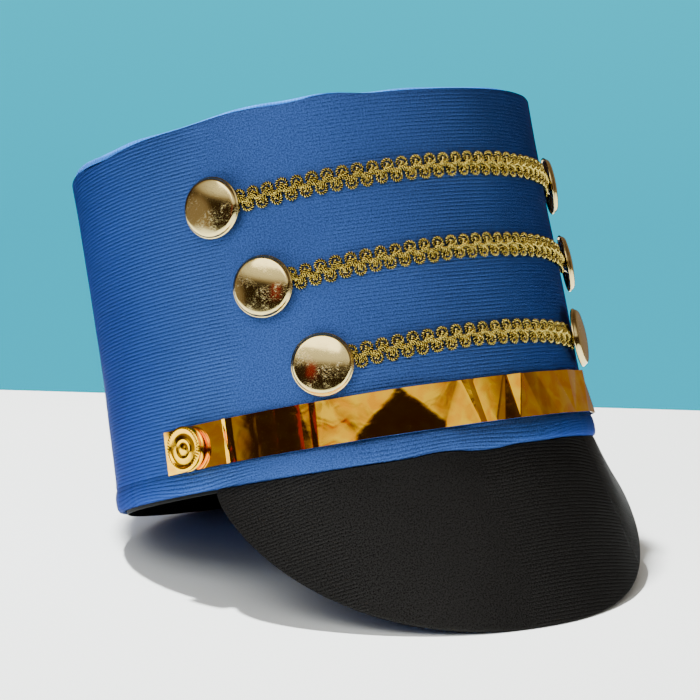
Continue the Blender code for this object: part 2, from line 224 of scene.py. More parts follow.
# Points of the creased foil: where each lies on the band and how far it stands off the
# crown. Height runs from 0 at the bottom edge to 1 at the top one, and lift is a share of
# the fold depth.
FOIL_POINTS = (
    # angle, height, lift
    (-80.5, 0.0, 0.0), (-80.5, 1.0, 0.0), (-72.0, 0.0, 0.2), (-72.0, 1.0, 0.1),
    (-64.5, 0.0, 0.25), (-64.5, 1.0, 0.12), (-63.0, 0.0, 0.2), (-63.0, 1.0, 0.15),
    (-61.8, 0.0, 0.45), (-61.8, 1.0, 0.5), (-60.6, 0.0, 0.2), (-60.6, 1.0, 0.3),
    (-55.0, 0.0, 0.2), (-55.0, 1.0, 0.32), (-52.0, 0.0, 0.28), (-52.0, 1.0, 0.38),
    (-50.0, 0.0, 0.16), (-50.0, 1.0, 0.26), (-47.0, 0.0, 0.28), (-47.0, 1.0, 0.38),
    (-44.6, 0.0, 0.28), (-44.6, 1.0, 0.36), (-42.8, 0.0, 0.18), (-42.5, 1.0, 0.18),
    (-41.5, 0.0, 0.26), (-41.0, 1.0, 0.24), (-39.3, 1.0, 0.0), (-33.5, 0.0, 0.65),
    (-23.0, 1.0, 1.2), (-13.0, 0.0, 0.42), (-8.0, 1.0, -0.05), (-6.6, 1.0, 0.42),
    (-5.4, 0.0, 0.8), (-5.2, 1.0, -0.08), (-3.6, 0.0, 0.35), (-0.8, 0.0, 0.55),
    (3.5, 1.0, 0.32), (1.8, 0.0, 0.0), (4.8, 1.0, -0.15), (6.0, 0.0, 0.35),
    (8.0, 1.0, 0.75), (9.0, 0.0, 0.2), (9.5, 1.0, 0.1), (13.5, 1.0, 0.4),
    (14.0, 0.0, -0.05), (20.0, 0.0, 0.55), (22.0, 1.0, 0.05), (27.0, 1.0, 0.5),
    (29.0, 0.0, 0.1), (34.0, 1.0, 0.1), (36.0, 0.0, 0.6), (38.5, 1.0, 0.65),
    (40.5, 0.0, 0.3), (42.5, 1.0, 0.05), (44.0, 0.0, 0.05), (51.0, 0.0, 0.5),
    (52.0, 1.0, 0.05), (60.0, 1.0, 0.45), (61.0, 0.0, 0.1), (67.0, 1.0, 0.05),
    (67.0, 0.0, 0.1), (80.5, 0.0, 0.0), (80.5, 1.0, 0.0),
)

# Camera, as fitted to the photograph
CAMERA_AZIMUTH = -34.05252
CAMERA_ELEVATION = 9.75575
CAMERA_ROLL = 0.58649
CAMERA_PLACE = (-0.5248795, -0.77814744, 0.24002115)
CAMERA_LENS = 125.854
CAMERA_SENSOR = 36.0

# Far edge of the table top, from the hat's middle away from the camera
TABLE_BACK = 0.303
TABLE_TURN = -39.9

# Soft boxes, aimed at a point this far above the table
LIGHT_AIM = 0.08
LIGHTS = (
    # name, azimuth, elevation, distance, width, height, power, colour, seen in gloss
    ("window_box", -60.0, 46.0, 1.4, 1.2, 0.7, 9.0, "#FFFFFF", True),
    ("top_soft_box", -152.0, 76.0, 1.3, 0.08, 0.08, 66.0, "#FFFFFF", False),
    ("under_fill", -80.0, 9.0, 1.3, 0.8, 0.2, 2.6, "#8CB0FF", False),
    ("warm_card", -58.0, 13.0, 1.2, 0.17, 0.26, 0.085, "#B0121A", True),
)

# Kinds of shader node that the finishes use most
BUMP = "ShaderNodeBump"
MAP_RANGE = "ShaderNodeMapRange"
MATH = "ShaderNodeMath"
MIX = "ShaderNodeMix"
NOISE = "ShaderNodeTexNoise"


def srgb(code):
    """Linear colour of an sRGB hex value."""
    linear = []
    for index in (1, 3, 5):
        value = int(code[index:index + 2], 16) / 255.0
        linear.append(value / 12.92 if value <= 0.04045 else ((value + 0.055) / 1.055) ** 2.4)
    return (*linear, 1.0)


def set_inputs(tree, node, inputs):
    """Set or connect a node's inputs, by name or number. A node gives its first output."""
    for name, value in inputs.items():
        if isinstance(value, bpy.types.Node):
            value = value.outputs[0]
        if isinstance(value, bpy.types.NodeSocket):
            tree.links.new(value, node.inputs[name])
        else:
            node.inputs[name].default_value = value


def add_node(tree, kind, inputs=None, **settings):
    """Add a node, set its properties, and set or connect its inputs."""
    node = tree.nodes.new(kind)
    for name, value in settings.items():
        setattr(node, name, value)
    set_inputs(tree, node, inputs or {})
    return node


def toward(azimuth, elevation):
    """Unit vector from the hat towards an azimuth and elevation in degrees."""
    turn, rise = math.radians(azimuth), math.radians(elevation)
    return Vector((
        math.sin(turn) * math.cos(rise), -math.cos(turn) * math.cos(rise), math.sin(rise)))


# Shape of the crown

def wave(rows, degrees):
    """Lift of the edge waves in rows, at an array of angles."""
    degrees = np.asarray(degrees, dtype=float)
    lift = np.zeros_like(degrees)
    for center, spread, height in rows:
        away = np.abs((degrees - center + 180.0) % 360.0 - 180.0) / spread
        swell = height * np.cos(0.5 * np.pi * np.minimum(away, 1.0)) ** 2
        lift += np.where(away < 1.0, swell, 0.0)
    return lift


def dents(degrees, height):
    """How far the cloth stands in from the plain oval wall."""
    depth = np.zeros(np.broadcast(degrees, height).shape)
    for center, spread, level, rise, most in WALL_DENTS:
        across = ((degrees - center + 180.0) % 360.0 - 180.0) / spread
        along = (height - level) / rise
        depth += most * np.exp(-across ** 2 - along ** 2)
    return depth


def wall(degrees, height, outward=0.0):
    """Points off the crown's outside, for arrays of angles, heights and stand-off."""
    degrees, height, outward = np.broadcast_arrays(
        np.asarray(degrees, float), np.asarray(height, float), np.asarray(outward, float))
    angle = np.radians(degrees)
    share = height / CROWN_HEIGHT
    draw_in = 4.0 * WAIST * share * (1.0 - share)
    half_width = 0.5 * (BASE_WIDTH + (TOP_WIDTH - BASE_WIDTH) * share) - draw_in
    half_length = 0.5 * (BASE_LENGTH + (TOP_LENGTH - BASE_LENGTH) * share) - draw_in
    normal_x = half_length * np.sin(angle)
    normal_y = -half_width * np.cos(angle)
    size = np.hypot(normal_x, normal_y)
    off = (outward - dents(degrees, height)) / size
    return np.stack((
        half_width * np.sin(angle) + normal_x * off,
        -half_length * np.cos(angle) + TOP_SET_BACK * share + normal_y * off,
        height + SADDLE * (np.sin(angle) ** 2 - 0.5),
    ), axis=-1)


def arc_length(height):
    """Distance round the wall at a height, as a function of angle from the front."""
    degrees = np.linspace(-180.0, 180.0, 721)
    points = wall(degrees, height)
    steps = np.linalg.norm(np.diff(points, axis=0), axis=1)
    lengths = np.concatenate(([0.0], np.cumsum(steps)))
    lengths -= np.interp(0.0, degrees, lengths)
    return degrees, lengths


def wall_frame(degrees, height, outward=0.0):
    """Matrix at a point of the wall: Z points outwards, X round the crown."""
    point = Vector(wall(degrees, height, outward))
    around = Vector(wall(degrees + 0.5, height) - wall(degrees - 0.5, height))
    upward = Vector(wall(degrees, height + 0.001) - wall(degrees, height - 0.001))
    x_axis = around.normalized()
    z_axis = x_axis.cross(upward).normalized()
    y_axis = z_axis.cross(x_axis)
    return Matrix.Translation(point) @ Matrix((x_axis, y_axis, z_axis)).transposed().to_4x4()


LEAN_BACK = Matrix.Translation(HAT_SHIFT) @ Matrix.Rotation(math.radians(LEAN), 4, "X")


def lean_back(points):
    """Hat-frame points moved into the model's frame."""
    turn = np.array(LEAN_BACK)
    return points @ turn[:3, :3].T + turn[:3, 3]


# Meshes

def grid_object(name, points, cloth_map, closed, material, capped=False):
    """Object from a grid of hat-frame points, rows by columns.

    cloth_map has one more row or column than points where that way of the grid is closed,
    so the map doesn't smear across the join.
    """
    rows, columns = points.shape[:2]
    row_count = rows if closed[0] else rows - 1
    column_count = columns if closed[1] else columns - 1
    row, column = np.meshgrid(np.arange(row_count), np.arange(column_count), indexing="ij")
    corner_rows = np.stack((row, row + 1, row + 1, row), axis=-1).reshape(-1, 4)
    corner_columns = np.stack((column, column, column + 1, column + 1), axis=-1).reshape(-1, 4)
    faces = ((corner_rows % rows) * columns + corner_columns % columns).tolist()
    corners = cloth_map[corner_rows, corner_columns].reshape(-1, 2)
    if capped:
        faces.append(list(range(columns)))
        faces.append([(rows - 1) * columns + index for index in range(columns)][::-1])
        corners = np.concatenate((corners, cloth_map[0, :columns], cloth_map[-1, :columns][::-1]))
    mesh = bpy.data.meshes.new(name)
    mesh.from_pydata(lean_back(points.reshape(-1, 3)).tolist(), [], faces)
    layer = mesh.uv_layers.new(name="cloth")
    layer.uv.foreach_set("vector", corners.astype(np.float32).ravel())
    return finish_object(name, mesh, material)


def signed_volume(mesh):
    """Six times the volume inside a closed mesh, negative where it is inside out."""
    mesh.calc_loop_triangles()
    count = len(mesh.loop_triangles)
    corners = np.empty(count * 3, dtype=np.int32)
    mesh.loop_triangles.foreach_get("vertices", corners)
    places = np.empty(len(mesh.vertices) * 3)
    mesh.vertices.foreach_get("co", places)
    a, b, c = places.reshape(-1, 3)[corners.reshape(-1, 3)].transpose(1, 0, 2)
    return float(np.einsum("ij,ij->i", a, np.cross(b, c)).sum())


def linked_object(name, data):
    obj = bpy.data.objects.new(name, data)
    bpy.context.scene.collection.objects.link(obj)
    return obj


def finish_object(name, mesh, material, sharp=40.0):
    """Object from a closed mesh: faces outwards, smooth between its sharp edges."""
    if signed_volume(mesh) < 0.0:
        mesh.flip_normals()
    mesh.update()
    mesh.shade_smooth()
    mesh.set_sharp_from_angle(angle=math.radians(sharp))
    mesh.materials.append(material)
    return linked_object(name, mesh)


def mapped_object(name, vertices, faces, map_name, vertex_map, material, sharp=40.0):
    """Object from hat-frame vertices and faces, with one map value to each vertex."""
    mesh = bpy.data.meshes.new(name)
    mesh.from_pydata(lean_back(vertices).tolist(), [], faces)
    corner_vertices = np.empty(len(mesh.loops), dtype=np.int32)
    mesh.loops.foreach_get("vertex_index", corner_vertices)
    layer = mesh.uv_layers.new(name=map_name)
    layer.uv.foreach_set("vector", vertex_map[corner_vertices].astype(np.float32).ravel())
    return finish_object(name, mesh, material, sharp)


def capped_faces(steps, count):
    """Faces of a ring of sections, with a fan at each end to the last two vertices."""
    faces = []
    first_tip = steps * count
    for step in range(steps):
        here = step * count
        after = (step + 1) % steps * count
        for index in range(count - 1):
            faces.append((here + index, here + index + 1, after + index + 1, after + index))
        faces.append((first_tip, here, after))
        faces.append((first_tip + 1, after + count - 1, here + count - 1))
    return faces


def turned_object(name, profile, steps, place, material, edge_wave=None):
    """Round piece: a profile from its top middle round to its underside, turned about Z.

    The middle of the map's range is the axis, so its radius and angle can be read from it.
    """
    profile = np.asarray(profile, dtype=float)
    angles = np.linspace(0.0, 2.0 * np.pi, steps, endpoint=False)[:, None]
    radius = np.repeat(profile[None, :, 0], steps, axis=0)
    height = np.repeat(profile[None, :, 1], steps, axis=0)
    if edge_wave is not None:
        radius, height = edge_wave(angles, radius, height)
    points = np.stack((radius * np.cos(angles), radius * np.sin(angles), height), axis=-1)
    turn = np.array(place)
    points = points @ turn[:3, :3].T + turn[:3, 3]
    ring = points[:, 1:-1]
    vertices = np.vstack((
        ring.reshape(-1, 3), points[:, 0].mean(axis=0), points[:, -1].mean(axis=0)))
    face_map = (vertices - turn[:3, 3]) @ turn[:3, :3]
    faces = capped_faces(steps, ring.shape[1])
    return mapped_object(name, vertices, faces, "face", face_map[:, :2], material, sharp=50.0)


# Materials

def metres_map(tree, name):
    """The piece's own map, in metres, whole and as separate along and across values."""
    place = add_node(tree, "ShaderNodeUVMap", uv_map=name).outputs[0]
    parts = add_node(tree, "ShaderNodeSeparateXYZ", {"Vector": place})
    return place, parts.outputs[0], parts.outputs[1]


def new_material(name):
    material = bpy.data.materials.new(name)
    material.use_nodes = True
    tree = material.node_tree
    return material, tree, tree.nodes["Principled BSDF"]


def ridges(tree, value, pitch, shift=0.0):
    """Rounded ridges a pitch apart along a value: 0 in the grooves and 1 on top."""
    turn = add_node(
        tree, MATH, {0: value, 1: math.pi / pitch, 2: shift}, operation="MULTIPLY_ADD")
    sine = add_node(tree, MATH, {0: turn}, operation="SINE")
    return add_node(tree, MATH, {0: sine}, operation="ABSOLUTE")


def ribbed_satin(name, ridge, groove_shade, glint, gloss, metallic, rib_depth, warp, stretched):
    """Ribbed polyester satin knit: close ridges across the cloth with fine knit columns.

    The eye gets thin dark grooves between shiny ridges where light rakes the cloth, and a
    fine sparkle with hardly any grooves where it comes from the front.
    """
    material, tree, shader = new_material(name)
    place, along, across = metres_map(tree, "cloth")
    # Ribs wander a little, as the stretched cloth does
    drift = add_node(tree, NOISE, {"Vector": place, "Scale": 28.0, "Detail": 2.0})
    drifted = add_node(tree, MATH, {0: drift, 1: warp, 2: across}, operation="MULTIPLY_ADD")
    ridge_wave = ridges(tree, drifted, RIB_PITCH)
    rib = add_node(tree, MATH, {0: ridge_wave, 1: 0.45}, operation="POWER")
    # Every other rib's columns are set half a step over
    row = add_node(tree, MATH, {0: drifted, 1: RIB_PITCH}, operation="DIVIDE")
    row = add_node(tree, MATH, {0: row}, operation="FLOOR")
    shift = add_node(tree, MATH, {0: row, 1: 0.5 * math.pi}, operation="MULTIPLY")
    column = ridges(tree, along, KNIT_PITCH, shift)
    # Single filaments are too fine to show, so their sparkle is drawn at about 0.6 mm
    grain = add_node(
        tree, NOISE, {"Vector": place, "Scale": 1700.0, "Detail": 3.0, "Roughness": 0.8})
    # The ribs are pulled flat where the cloth is stretched most, which leaves its grain
    wander = add_node(tree, NOISE, {"Vector": place, "Scale": 30.0, "Detail": 2.0})
    shown = 1.0
    for center, spread, least in stretched:
        off = add_node(tree, MATH, {0: along, 1: center}, operation="SUBTRACT")
        off = add_node(tree, MATH, {0: off}, operation="ABSOLUTE")
        off = add_node(tree, MATH, {0: wander, 1: 0.030, 2: off}, operation="MULTIPLY_ADD")
        near, far = 0.6 * spread + 0.015, 1.15 * spread + 0.015
        part = add_node(
            tree, MAP_RANGE, {0: off, 1: near, 2: far, 3: least, 4: 1.0},
            interpolation_type="SMOOTHSTEP")
        shown = add_node(tree, MATH, {0: part, 1: shown}, operation="MULTIPLY")
    level = add_node(tree, MATH, {0: shown, 1: -0.8, 2: 0.8}, operation="MULTIPLY_ADD")
    rib = add_node(tree, MATH, {0: rib, 1: shown, 2: level}, operation="MULTIPLY_ADD")
    relief = add_node(tree, MATH, {0: column, 1: 0.16, 2: rib}, operation="MULTIPLY_ADD")
    relief = add_node(tree, MATH, {0: grain, 1: 1.5, 2: relief}, operation="MULTIPLY_ADD")
    bump = add_node(tree, BUMP, {"Strength": 1.0, "Distance": rib_depth, "Height": relief})
    # Painted shade in the rib grooves, fading where the ribs are pulled flat, painted shade
    # between the filaments and painted glints on them, and soft patches where the cloth is
    # stretched more or less
    painted_filament_light = add_node(tree, MAP_RANGE, {0: grain, 1: 0.42, 2: 0.68, 3: 0.0, 4: 1.0})
    painted_filament_light = add_node(tree, MATH, {0: painted_filament_light, 1: 0.95}, operation="MULTIPLY")
    depth = add_node(tree, MATH, {0: rib, 1: 0.45, 2: painted_filament_light}, operation="MULTIPLY_ADD")
    colour = add_node(tree, MIX, {0: depth, 6: srgb(groove_shade), 7: srgb(ridge)}, data_type="RGBA")
    patch = add_node(tree, NOISE, {"Vector": place, "Scale": 16.0, "Detail": 3.0})
    tone = add_node(tree, MAP_RANGE, {0: patch, 1: 0.3, 2: 0.7, 3: 0.90, 4: 1.08})
    shaded = add_node(
        tree, "ShaderNodeHueSaturation", {"Color": colour.outputs[2], "Value": tone})
    rough = add_node(
        tree, MAP_RANGE, {0: grain, 1: 0.3, 2: 0.7, 3: gloss - 0.10, 4: gloss + 0.12})
    # Bright filaments mirror in the cloth's own colour, and don't whiten at the edges
    set_inputs(tree, shader, {
        "Base Color": shaded, "Roughness": rough, "Normal": bump, "Metallic": metallic,
        "Specular IOR Level": 0.06, "Specular Tint": srgb(glint)})
    return material


def plain_cloth(name, colour, dark, weave):
    """Plain matt cloth or woven tape: a fine over-and-under weave.

    The eye gets an even, soft surface with no gloss.
    """
    material, tree, shader = new_material(name)
    place, along, across = metres_map(tree, "cloth")
    over = 1.0
    for value in (along, across):
        turn = add_node(tree, MATH, {0: value, 1: math.pi / weave}, operation="MULTIPLY")
        thread = add_node(tree, MATH, {0: turn}, operation="SINE")
        over = add_node(tree, MATH, {0: thread, 1: over}, operation="MULTIPLY")
    fuzz = add_node(tree, NOISE, {"Vector": place, "Scale": 1200.0, "Detail": 2.0})
    relief = add_node(tree, MATH, {0: over, 1: 0.5, 2: fuzz}, operation="MULTIPLY_ADD")
    bump = add_node(tree, BUMP, {"Strength": 0.8, "Distance": 0.00012, "Height": relief})
    # Painted shade: the colour is darker where the weave dips, following its relief
    shade = add_node(tree, MIX, {0: relief, 6: srgb(dark), 7: srgb(colour)}, data_type="RGBA")
    set_inputs(tree, shader, {
        "Base Color": shade.outputs[2], "Normal": bump, "Roughness": 0.88,
        "Specular IOR Level": 0.2})
    return material


def metallised_foil(name, colour, painted_hollow_colour):
    """Gold-coated plastic film: a mirror with soft ripples and pin-fine scuffs.

    The eye gets hard-edged pale, orange and dark reflections that break at each crease, and a
    painted reflection of deeper orange in the ripples' troughs.
    """
    material, tree, shader = new_material(name)
    place = metres_map(tree, "cloth")[0]
    ripple = add_node(
        tree, NOISE, {"Vector": place, "Scale": 170.0, "Detail": 1.5, "Distortion": 0.6})
    scuff = add_node(tree, NOISE, {"Vector": place, "Scale": 2600.0, "Detail": 2.0})
    relief = add_node(tree, MATH, {0: scuff, 1: 0.012, 2: ripple}, operation="MULTIPLY_ADD")
    bump = add_node(tree, BUMP, {"Strength": 0.10, "Distance": 0.0008, "Height": relief})
    # Painted reflection: the troughs of the ripples are a deeper orange, as gold mirrored in gold
    painted_reflection_tint = add_node(tree, MAP_RANGE, {0: ripple, 1: 0.35, 2: 0.65, 3: 0.0, 4: 1.0})
    shade = add_node(tree, MIX, {0: painted_reflection_tint, 6: srgb(painted_hollow_colour), 7: srgb(colour)}, data_type="RGBA")
    rough = add_node(tree, MAP_RANGE, {0: scuff, 1: 0.4, 2: 0.75, 3: 0.05, 4: 0.13})
    set_inputs(tree, shader, {
        "Base Color": shade.outputs[2], "Roughness": rough, "Normal": bump, "Metallic": 1.0})
    return material


def metallic_thread(name, bright, painted_hollow_colour):
    """Cord of flat metallised strips twisted with thread.

    The eye gets glitter point by point on the crests, painted there as highlights, and near black
    between the twists, painted there as shade.
    Strips about 0.3 mm wide are too fine to show, and are drawn at about 0.6 mm.
    """
    material, tree, shader = new_material(name)
    place = add_node(tree, "ShaderNodeTexCoord").outputs["Object"]
    strands = add_node(tree, NOISE, {"Vector": place, "Scale": 1700.0, "Detail": 2.0})
    bump = add_node(tree, BUMP, {"Strength": 1.0, "Distance": 0.00022, "Height": strands})
    # Painted highlight on the crests and painted shade in the hollows between the twists
    painted_crest_light = add_node(tree, "ShaderNodeAttribute", attribute_name="painted_crest_light").outputs["Fac"]
    mixed = add_node(tree, MATH, {0: strands, 1: 0.9, 2: painted_crest_light}, operation="MULTIPLY_ADD")
    spread = add_node(tree, MAP_RANGE, {0: mixed, 1: 1.05, 2: 1.22, 3: 0.0, 4: 1.0})
    shade = add_node(tree, MIX, {0: spread, 6: srgb(painted_hollow_colour), 7: srgb(bright)}, data_type="RGBA")
    set_inputs(tree, shader, {
        "Base Color": shade.outputs[2], "Normal": bump, "Metallic": 0.94, "Roughness": 0.16})
    return material


def gold_plate(name, colour, worn):
    """Polished gold plate on pressed metal, with fine crossed scratches and a worn patch.

    The eye gets a clear reflection of the room, broken by frosted patches.
    """
    material, tree, shader = new_material(name)
    place = metres_map(tree, "face")[0]
    total = 0.0
    for angle, seed in ((0.5, 3.0), (-0.9, 11.0), (1.7, 23.0)):
        turned = add_node(tree, "ShaderNodeMapping", {
            "Vector": place, "Location": (seed, seed, 0.0), "Rotation": (0.0, 0.0, angle),
            "Scale": (800.0, 5200.0, 1.0)})
        scratch = add_node(tree, NOISE, {"Vector": turned, "Scale": 1.0, "Detail": 2.0})
        fine = add_node(tree, MAP_RANGE, {0: scratch, 1: 0.58, 2: 0.72, 3: 0.0, 4: 1.0})
        total = add_node(tree, MATH, {0: fine, 1: total}, operation="ADD")
    patch = add_node(
        tree, NOISE, {"Vector": place, "Scale": 120.0, "Detail": 4.0, "Roughness": 0.7})
    where = add_node(tree, MAP_RANGE, {0: patch, 1: 0.46, 2: 0.66, 3: 0.0, 4: 1.0})
    scratched = add_node(tree, MATH, {0: total, 1: where}, operation="MULTIPLY")
    bump = add_node(tree, BUMP, {"Strength": 0.40, "Distance": 0.00004, "Height": scratched})
    shade = add_node(tree, MIX, {0: scratched, 6: srgb(colour), 7: srgb(worn)}, data_type="RGBA")
    rough = add_node(tree, MAP_RANGE, {0: scratched, 1: 0.0, 2: 1.0, 3: 0.12, 4: 0.36})
    set_inputs(tree, shader, {
        "Base Color": shade.outputs[2], "Roughness": rough, "Normal": bump, "Metallic": 1.0})
    return material


# Its groove colour is painted shade in the rib grooves and between the filaments
BLUE_SATIN = ribbed_satin(
    "ribbed_blue_polyester_satin", ridge="#4263A9", groove_shade="#0E1F46", glint="#1A3978",
    gloss=0.37, metallic=0.90, rib_depth=0.00019, warp=0.0006,
    stretched=((-0.072, 0.024, 0.12), (0.052, 0.046, 0.40)))
# The second colour of each plain cloth is painted shade in the weave's dips
BLUE_REVERSE = plain_cloth("blue_satin_wrong_side", "#0A3674", "#052450", 0.0008)
# Painted sheen: a lighter blue for the top panel's rolled edge, where grazing light brightens the
# satin
BLUE_FOLD_SHEEN = plain_cloth("blue_satin_painted_fold_sheen", "#3E8CEE", "#2468C4", 0.0009)
# Its groove colour is painted shade in the visor's rib grooves and between the filaments
BLACK_SATIN = ribbed_satin(
    "ribbed_black_polyester_satin", ridge="#2E2D2C", groove_shade="#060606", glint="#2A2826",
    gloss=0.30, metallic=0.80, rib_depth=0.00028, warp=0.0006,
    stretched=((-0.036, 0.030, 0.12),))
# Its second colour is painted shade in the weave's dips
BLACK_TAPE = plain_cloth("woven_black_tape", "#0C0C0D", "#030303", 0.0006)
# Its second colour is a painted reflection, deeper orange in the ripple troughs
GOLD_FOIL = metallised_foil("gold_metallised_film", "#FFC81C", "#F2A40C")
# Painted highlight and shade: bright on the cord's crests, near black in its hollows
GOLD_THREAD = metallic_thread("gold_metallised_cord", "#FFE36C", "#0E0601")
GOLD_PLATE = gold_plate("polished_gold_plate", "#DCC682", "#DCC898")
STAMPED_GOLD = gold_plate("stamped_bright_gold_plate", "#FFC40C", "#FFC81E")


# Crown

def crown_angles():
    """Angles round the crown from the back seam, closer together beside the seam."""
    even = np.linspace(-180.0, 180.0, 257)[:-1]
    beside = np.array([0.25, 0.5, 0.8])
    return np.sort(np.concatenate((even, -180.0 + beside, 180.0 - beside)))


def crumple(points, rows):
    """Small smooth unevenness at points, as an array of lengths."""
    total = np.zeros(points.shape[:-1])
    for size, depth, shift in rows:
        flat = (points + shift).reshape(-1, 3) / size
        values = [noise.noise(Vector(point)) for point in flat]
        total += depth * np.array(values).reshape(total.shape)
    return total


def round_map(angles, up, height):
    """Cloth map of a closed grid: distance round the wall at a height, and the values up."""
    degrees, lengths = arc_length(height)
    cloth_map = np.empty((len(angles) + 1, up.shape[1] + 1, 2))
    cloth_map[..., 0] = np.interp(np.append(angles, 180.0), degrees, lengths)[:, None]
    cloth_map[:, :-1, 1] = up
    cloth_map[:, -1, 1] = cloth_map[:, -2, 1]
    return cloth_map


def make_crown_side():
    """Cloth-covered side wall: turned top lip, rolled hem, plain seam down the back."""
    angles = crown_angles()
    low = wave(RIM_WAVES, angles)
    high = CROWN_HEIGHT + wave(TOP_WAVES, angles)
    hem_pucker = sum(
        depth * np.sin(np.radians(angles * waves) + start) for depth, waves, start in HEM_PUCKERS)
    section = [
        # stand-off, share of the way up, lift
        (-CLOTH, 1.0, -PANEL_THICK - SEAM_GAP),
        (-CLOTH, 1.0, -0.55 * CLOTH),
        (-0.85 * CLOTH, 1.0, -0.20 * CLOTH),
        (-0.50 * CLOTH, 1.0, 0.0),
        (-0.15 * CLOTH, 1.0, -0.20 * CLOTH),
        (0.0, 1.0, -0.60 * CLOTH),
    ]
    section.extend((0.0, share, 0.0) for share in np.linspace(0.985, 0.085, 40))
    section.extend((
        (0.0, 0.0, HEM_HEIGHT + 0.0010),
        (-0.00018, 0.0, HEM_HEIGHT + 0.0003),
        (0.0, 0.0, HEM_HEIGHT - 0.0004),
        (0.60 * HEM_BULGE, 0.0, 0.84 * HEM_HEIGHT),
        (0.95 * HEM_BULGE, 0.0, 0.66 * HEM_HEIGHT),
        (1.00 * HEM_BULGE, 0.0, 0.46 * HEM_HEIGHT),
        (0.85 * HEM_BULGE, 0.0, 0.28 * HEM_HEIGHT),
        (0.40 * HEM_BULGE, 0.0, 0.13 * HEM_HEIGHT),
        (-0.30 * HEM_BULGE, 0.0, 0.04 * HEM_HEIGHT),
        (-0.30 * WALL, 0.0, 0.0),
        (-0.70 * WALL, 0.0, 0.0),
        (-0.92 * WALL, 0.0, 0.0003),
        (-WALL, 0.0, 0.0009),
    ))
    outside = len(section) - 3
    section.extend((-WALL, share, 0.0) for share in np.linspace(0.1, 0.9, 9))
    section.append((-WALL, 1.0, -PANEL_THICK - SEAM_GAP))
    outward, share, lift = np.array(section).T
    height = low[:, None] + share[None, :] * (high - low)[:, None] + lift[None, :]
    in_hem = (share == 0.0) & (outward > -0.0002)
    stand_off = np.repeat(outward[None, :], len(angles), axis=0)
    stand_off += hem_pucker[:, None] * in_hem[None, :]
    seam = np.exp(-((np.abs(angles) - 180.0) / SEAM_SPREAD) ** 2)
    is_outside = np.arange(len(section)) < outside
    stand_off -= SEAM_DEPTH * seam[:, None] * is_outside[None, :]
    points = wall(angles[:, None], height, stand_off)
    uneven = crumple(points, SIDE_UNEVEN)
    points = wall(angles[:, None], height, stand_off + uneven * is_outside[None, :])

    steps = np.abs(np.diff(height.mean(axis=0))) + np.abs(np.diff(outward))
    down = np.concatenate(([0.0], np.cumsum(steps)))
    level = np.vstack((height, height[:1]))
    skirt = np.where(is_outside, 0.0, down - down[outside])
    up = np.where(is_outside[None, :], level, -skirt[None, :])
    cloth_map = round_map(angles, up, 0.5 * CROWN_HEIGHT)
    # The hem is pulled over the edge a little askew, which slants its ribs
    round_rim, up_side = cloth_map[..., 0], cloth_map[..., 1]
    hem_share = np.clip((HEM_HEIGHT - up_side) / HEM_HEIGHT, 0.0, 1.0) * (up_side > -0.001)
    slant = sum(shift * np.sin(round_rim * waves + start) for shift, waves, start in HEM_SLANTS)
    cloth_map[..., 1] += hem_share * slant
    obj = grid_object("crown_side_cloth", points, cloth_map, (True, True), BLUE_SATIN)
    obj.data.materials.append(BLUE_REVERSE)
    inner = np.zeros((len(angles), len(section)), dtype=np.int32)
    inner[:, outside:] = 1
    obj.data.polygons.foreach_set("material_index", inner.ravel())
    return obj


def make_crown_top():
    """Top panel with its edge turned in behind the side wall's lip."""
    angles = np.linspace(-180.0, 180.0, ROUND_STEPS, endpoint=False)
    edge_rise = wave(TOP_WAVES, angles) + wave(PANEL_PEEKS, angles)
    seam = CLOTH + SEAM_GAP
    rows = [
        # reach from the middle, inset, height over the crown's top, share of the edge's rise
        (0.25, 0.0, -PANEL_THICK, 0.0),
        (0.60, 0.0, -PANEL_THICK, 0.0),
        (0.93, 0.0, -PANEL_THICK, 0.9),
        (1.00, seam + 0.0010, -PANEL_THICK, 1.0),
        (1.00, seam + 0.0002, -PANEL_THICK + 0.0005, 1.0),
        (1.00, seam, -0.0008, 1.0),
        (1.00, seam + 0.0001, -0.0002, 1.0),
        (1.00, seam + 0.0004, 0.0002, 1.0),
        (1.00, seam + 0.0010, 0.0004, 1.0),
        (1.00, seam + 0.0020, 0.0005, 1.0),
    ]
    under_rows, rolled_rows, sheen_rows = 4, 7, 9
    rows.extend(
        (reach, seam, 0.0005 + PANEL_PUFF * (1.0 - reach ** 2) ** 0.8, reach ** 6)
        for reach in (
            0.955, 0.93, 0.90, 0.86, 0.81, 0.75, 0.68, 0.60, 0.51, 0.41, 0.30, 0.18, 0.07))
    middle = np.array((0.0, TOP_SET_BACK, CROWN_HEIGHT))
    rings = []
    for reach, inset, rise, follow in rows:
        edge = wall(angles, CROWN_HEIGHT, -inset)
        ring = middle + (edge - middle) * reach
        ring[:, 2] = CROWN_HEIGHT + rise + follow * (edge_rise + edge[:, 2] - CROWN_HEIGHT)
        rings.append(ring)
    points = np.stack(rings, axis=1)
    on_top = np.arange(len(rows)) >= rolled_rows
    points[..., 2] += on_top * crumple(points, TOP_UNEVEN)
    steps, count = points.shape[:2]
    under = np.array((0.0, TOP_SET_BACK, CROWN_HEIGHT - PANEL_THICK))
    over = np.array((0.0, TOP_SET_BACK, points[:, -1, 2].mean()))
    vertices = np.vstack((points.reshape(-1, 3), under, over))
    faces = capped_faces(steps, count)
    obj = mapped_object("crown_top_cloth", vertices, faces, "cloth", vertices[:, :2], BLUE_SATIN)
    obj.data.materials.append(BLUE_REVERSE)
    # The rolled edge takes the lighter blue of painted sheen
    obj.data.materials.append(BLUE_FOLD_SHEEN)
    for polygon in obj.data.polygons:
        used = [index % count for index in polygon.vertices if index < steps * count]
        if max(used) < under_rows:
            polygon.material_index = 1
        elif under_rows <= min(used) and max(used) < sheen_rows:
            polygon.material_index = 2
    return obj


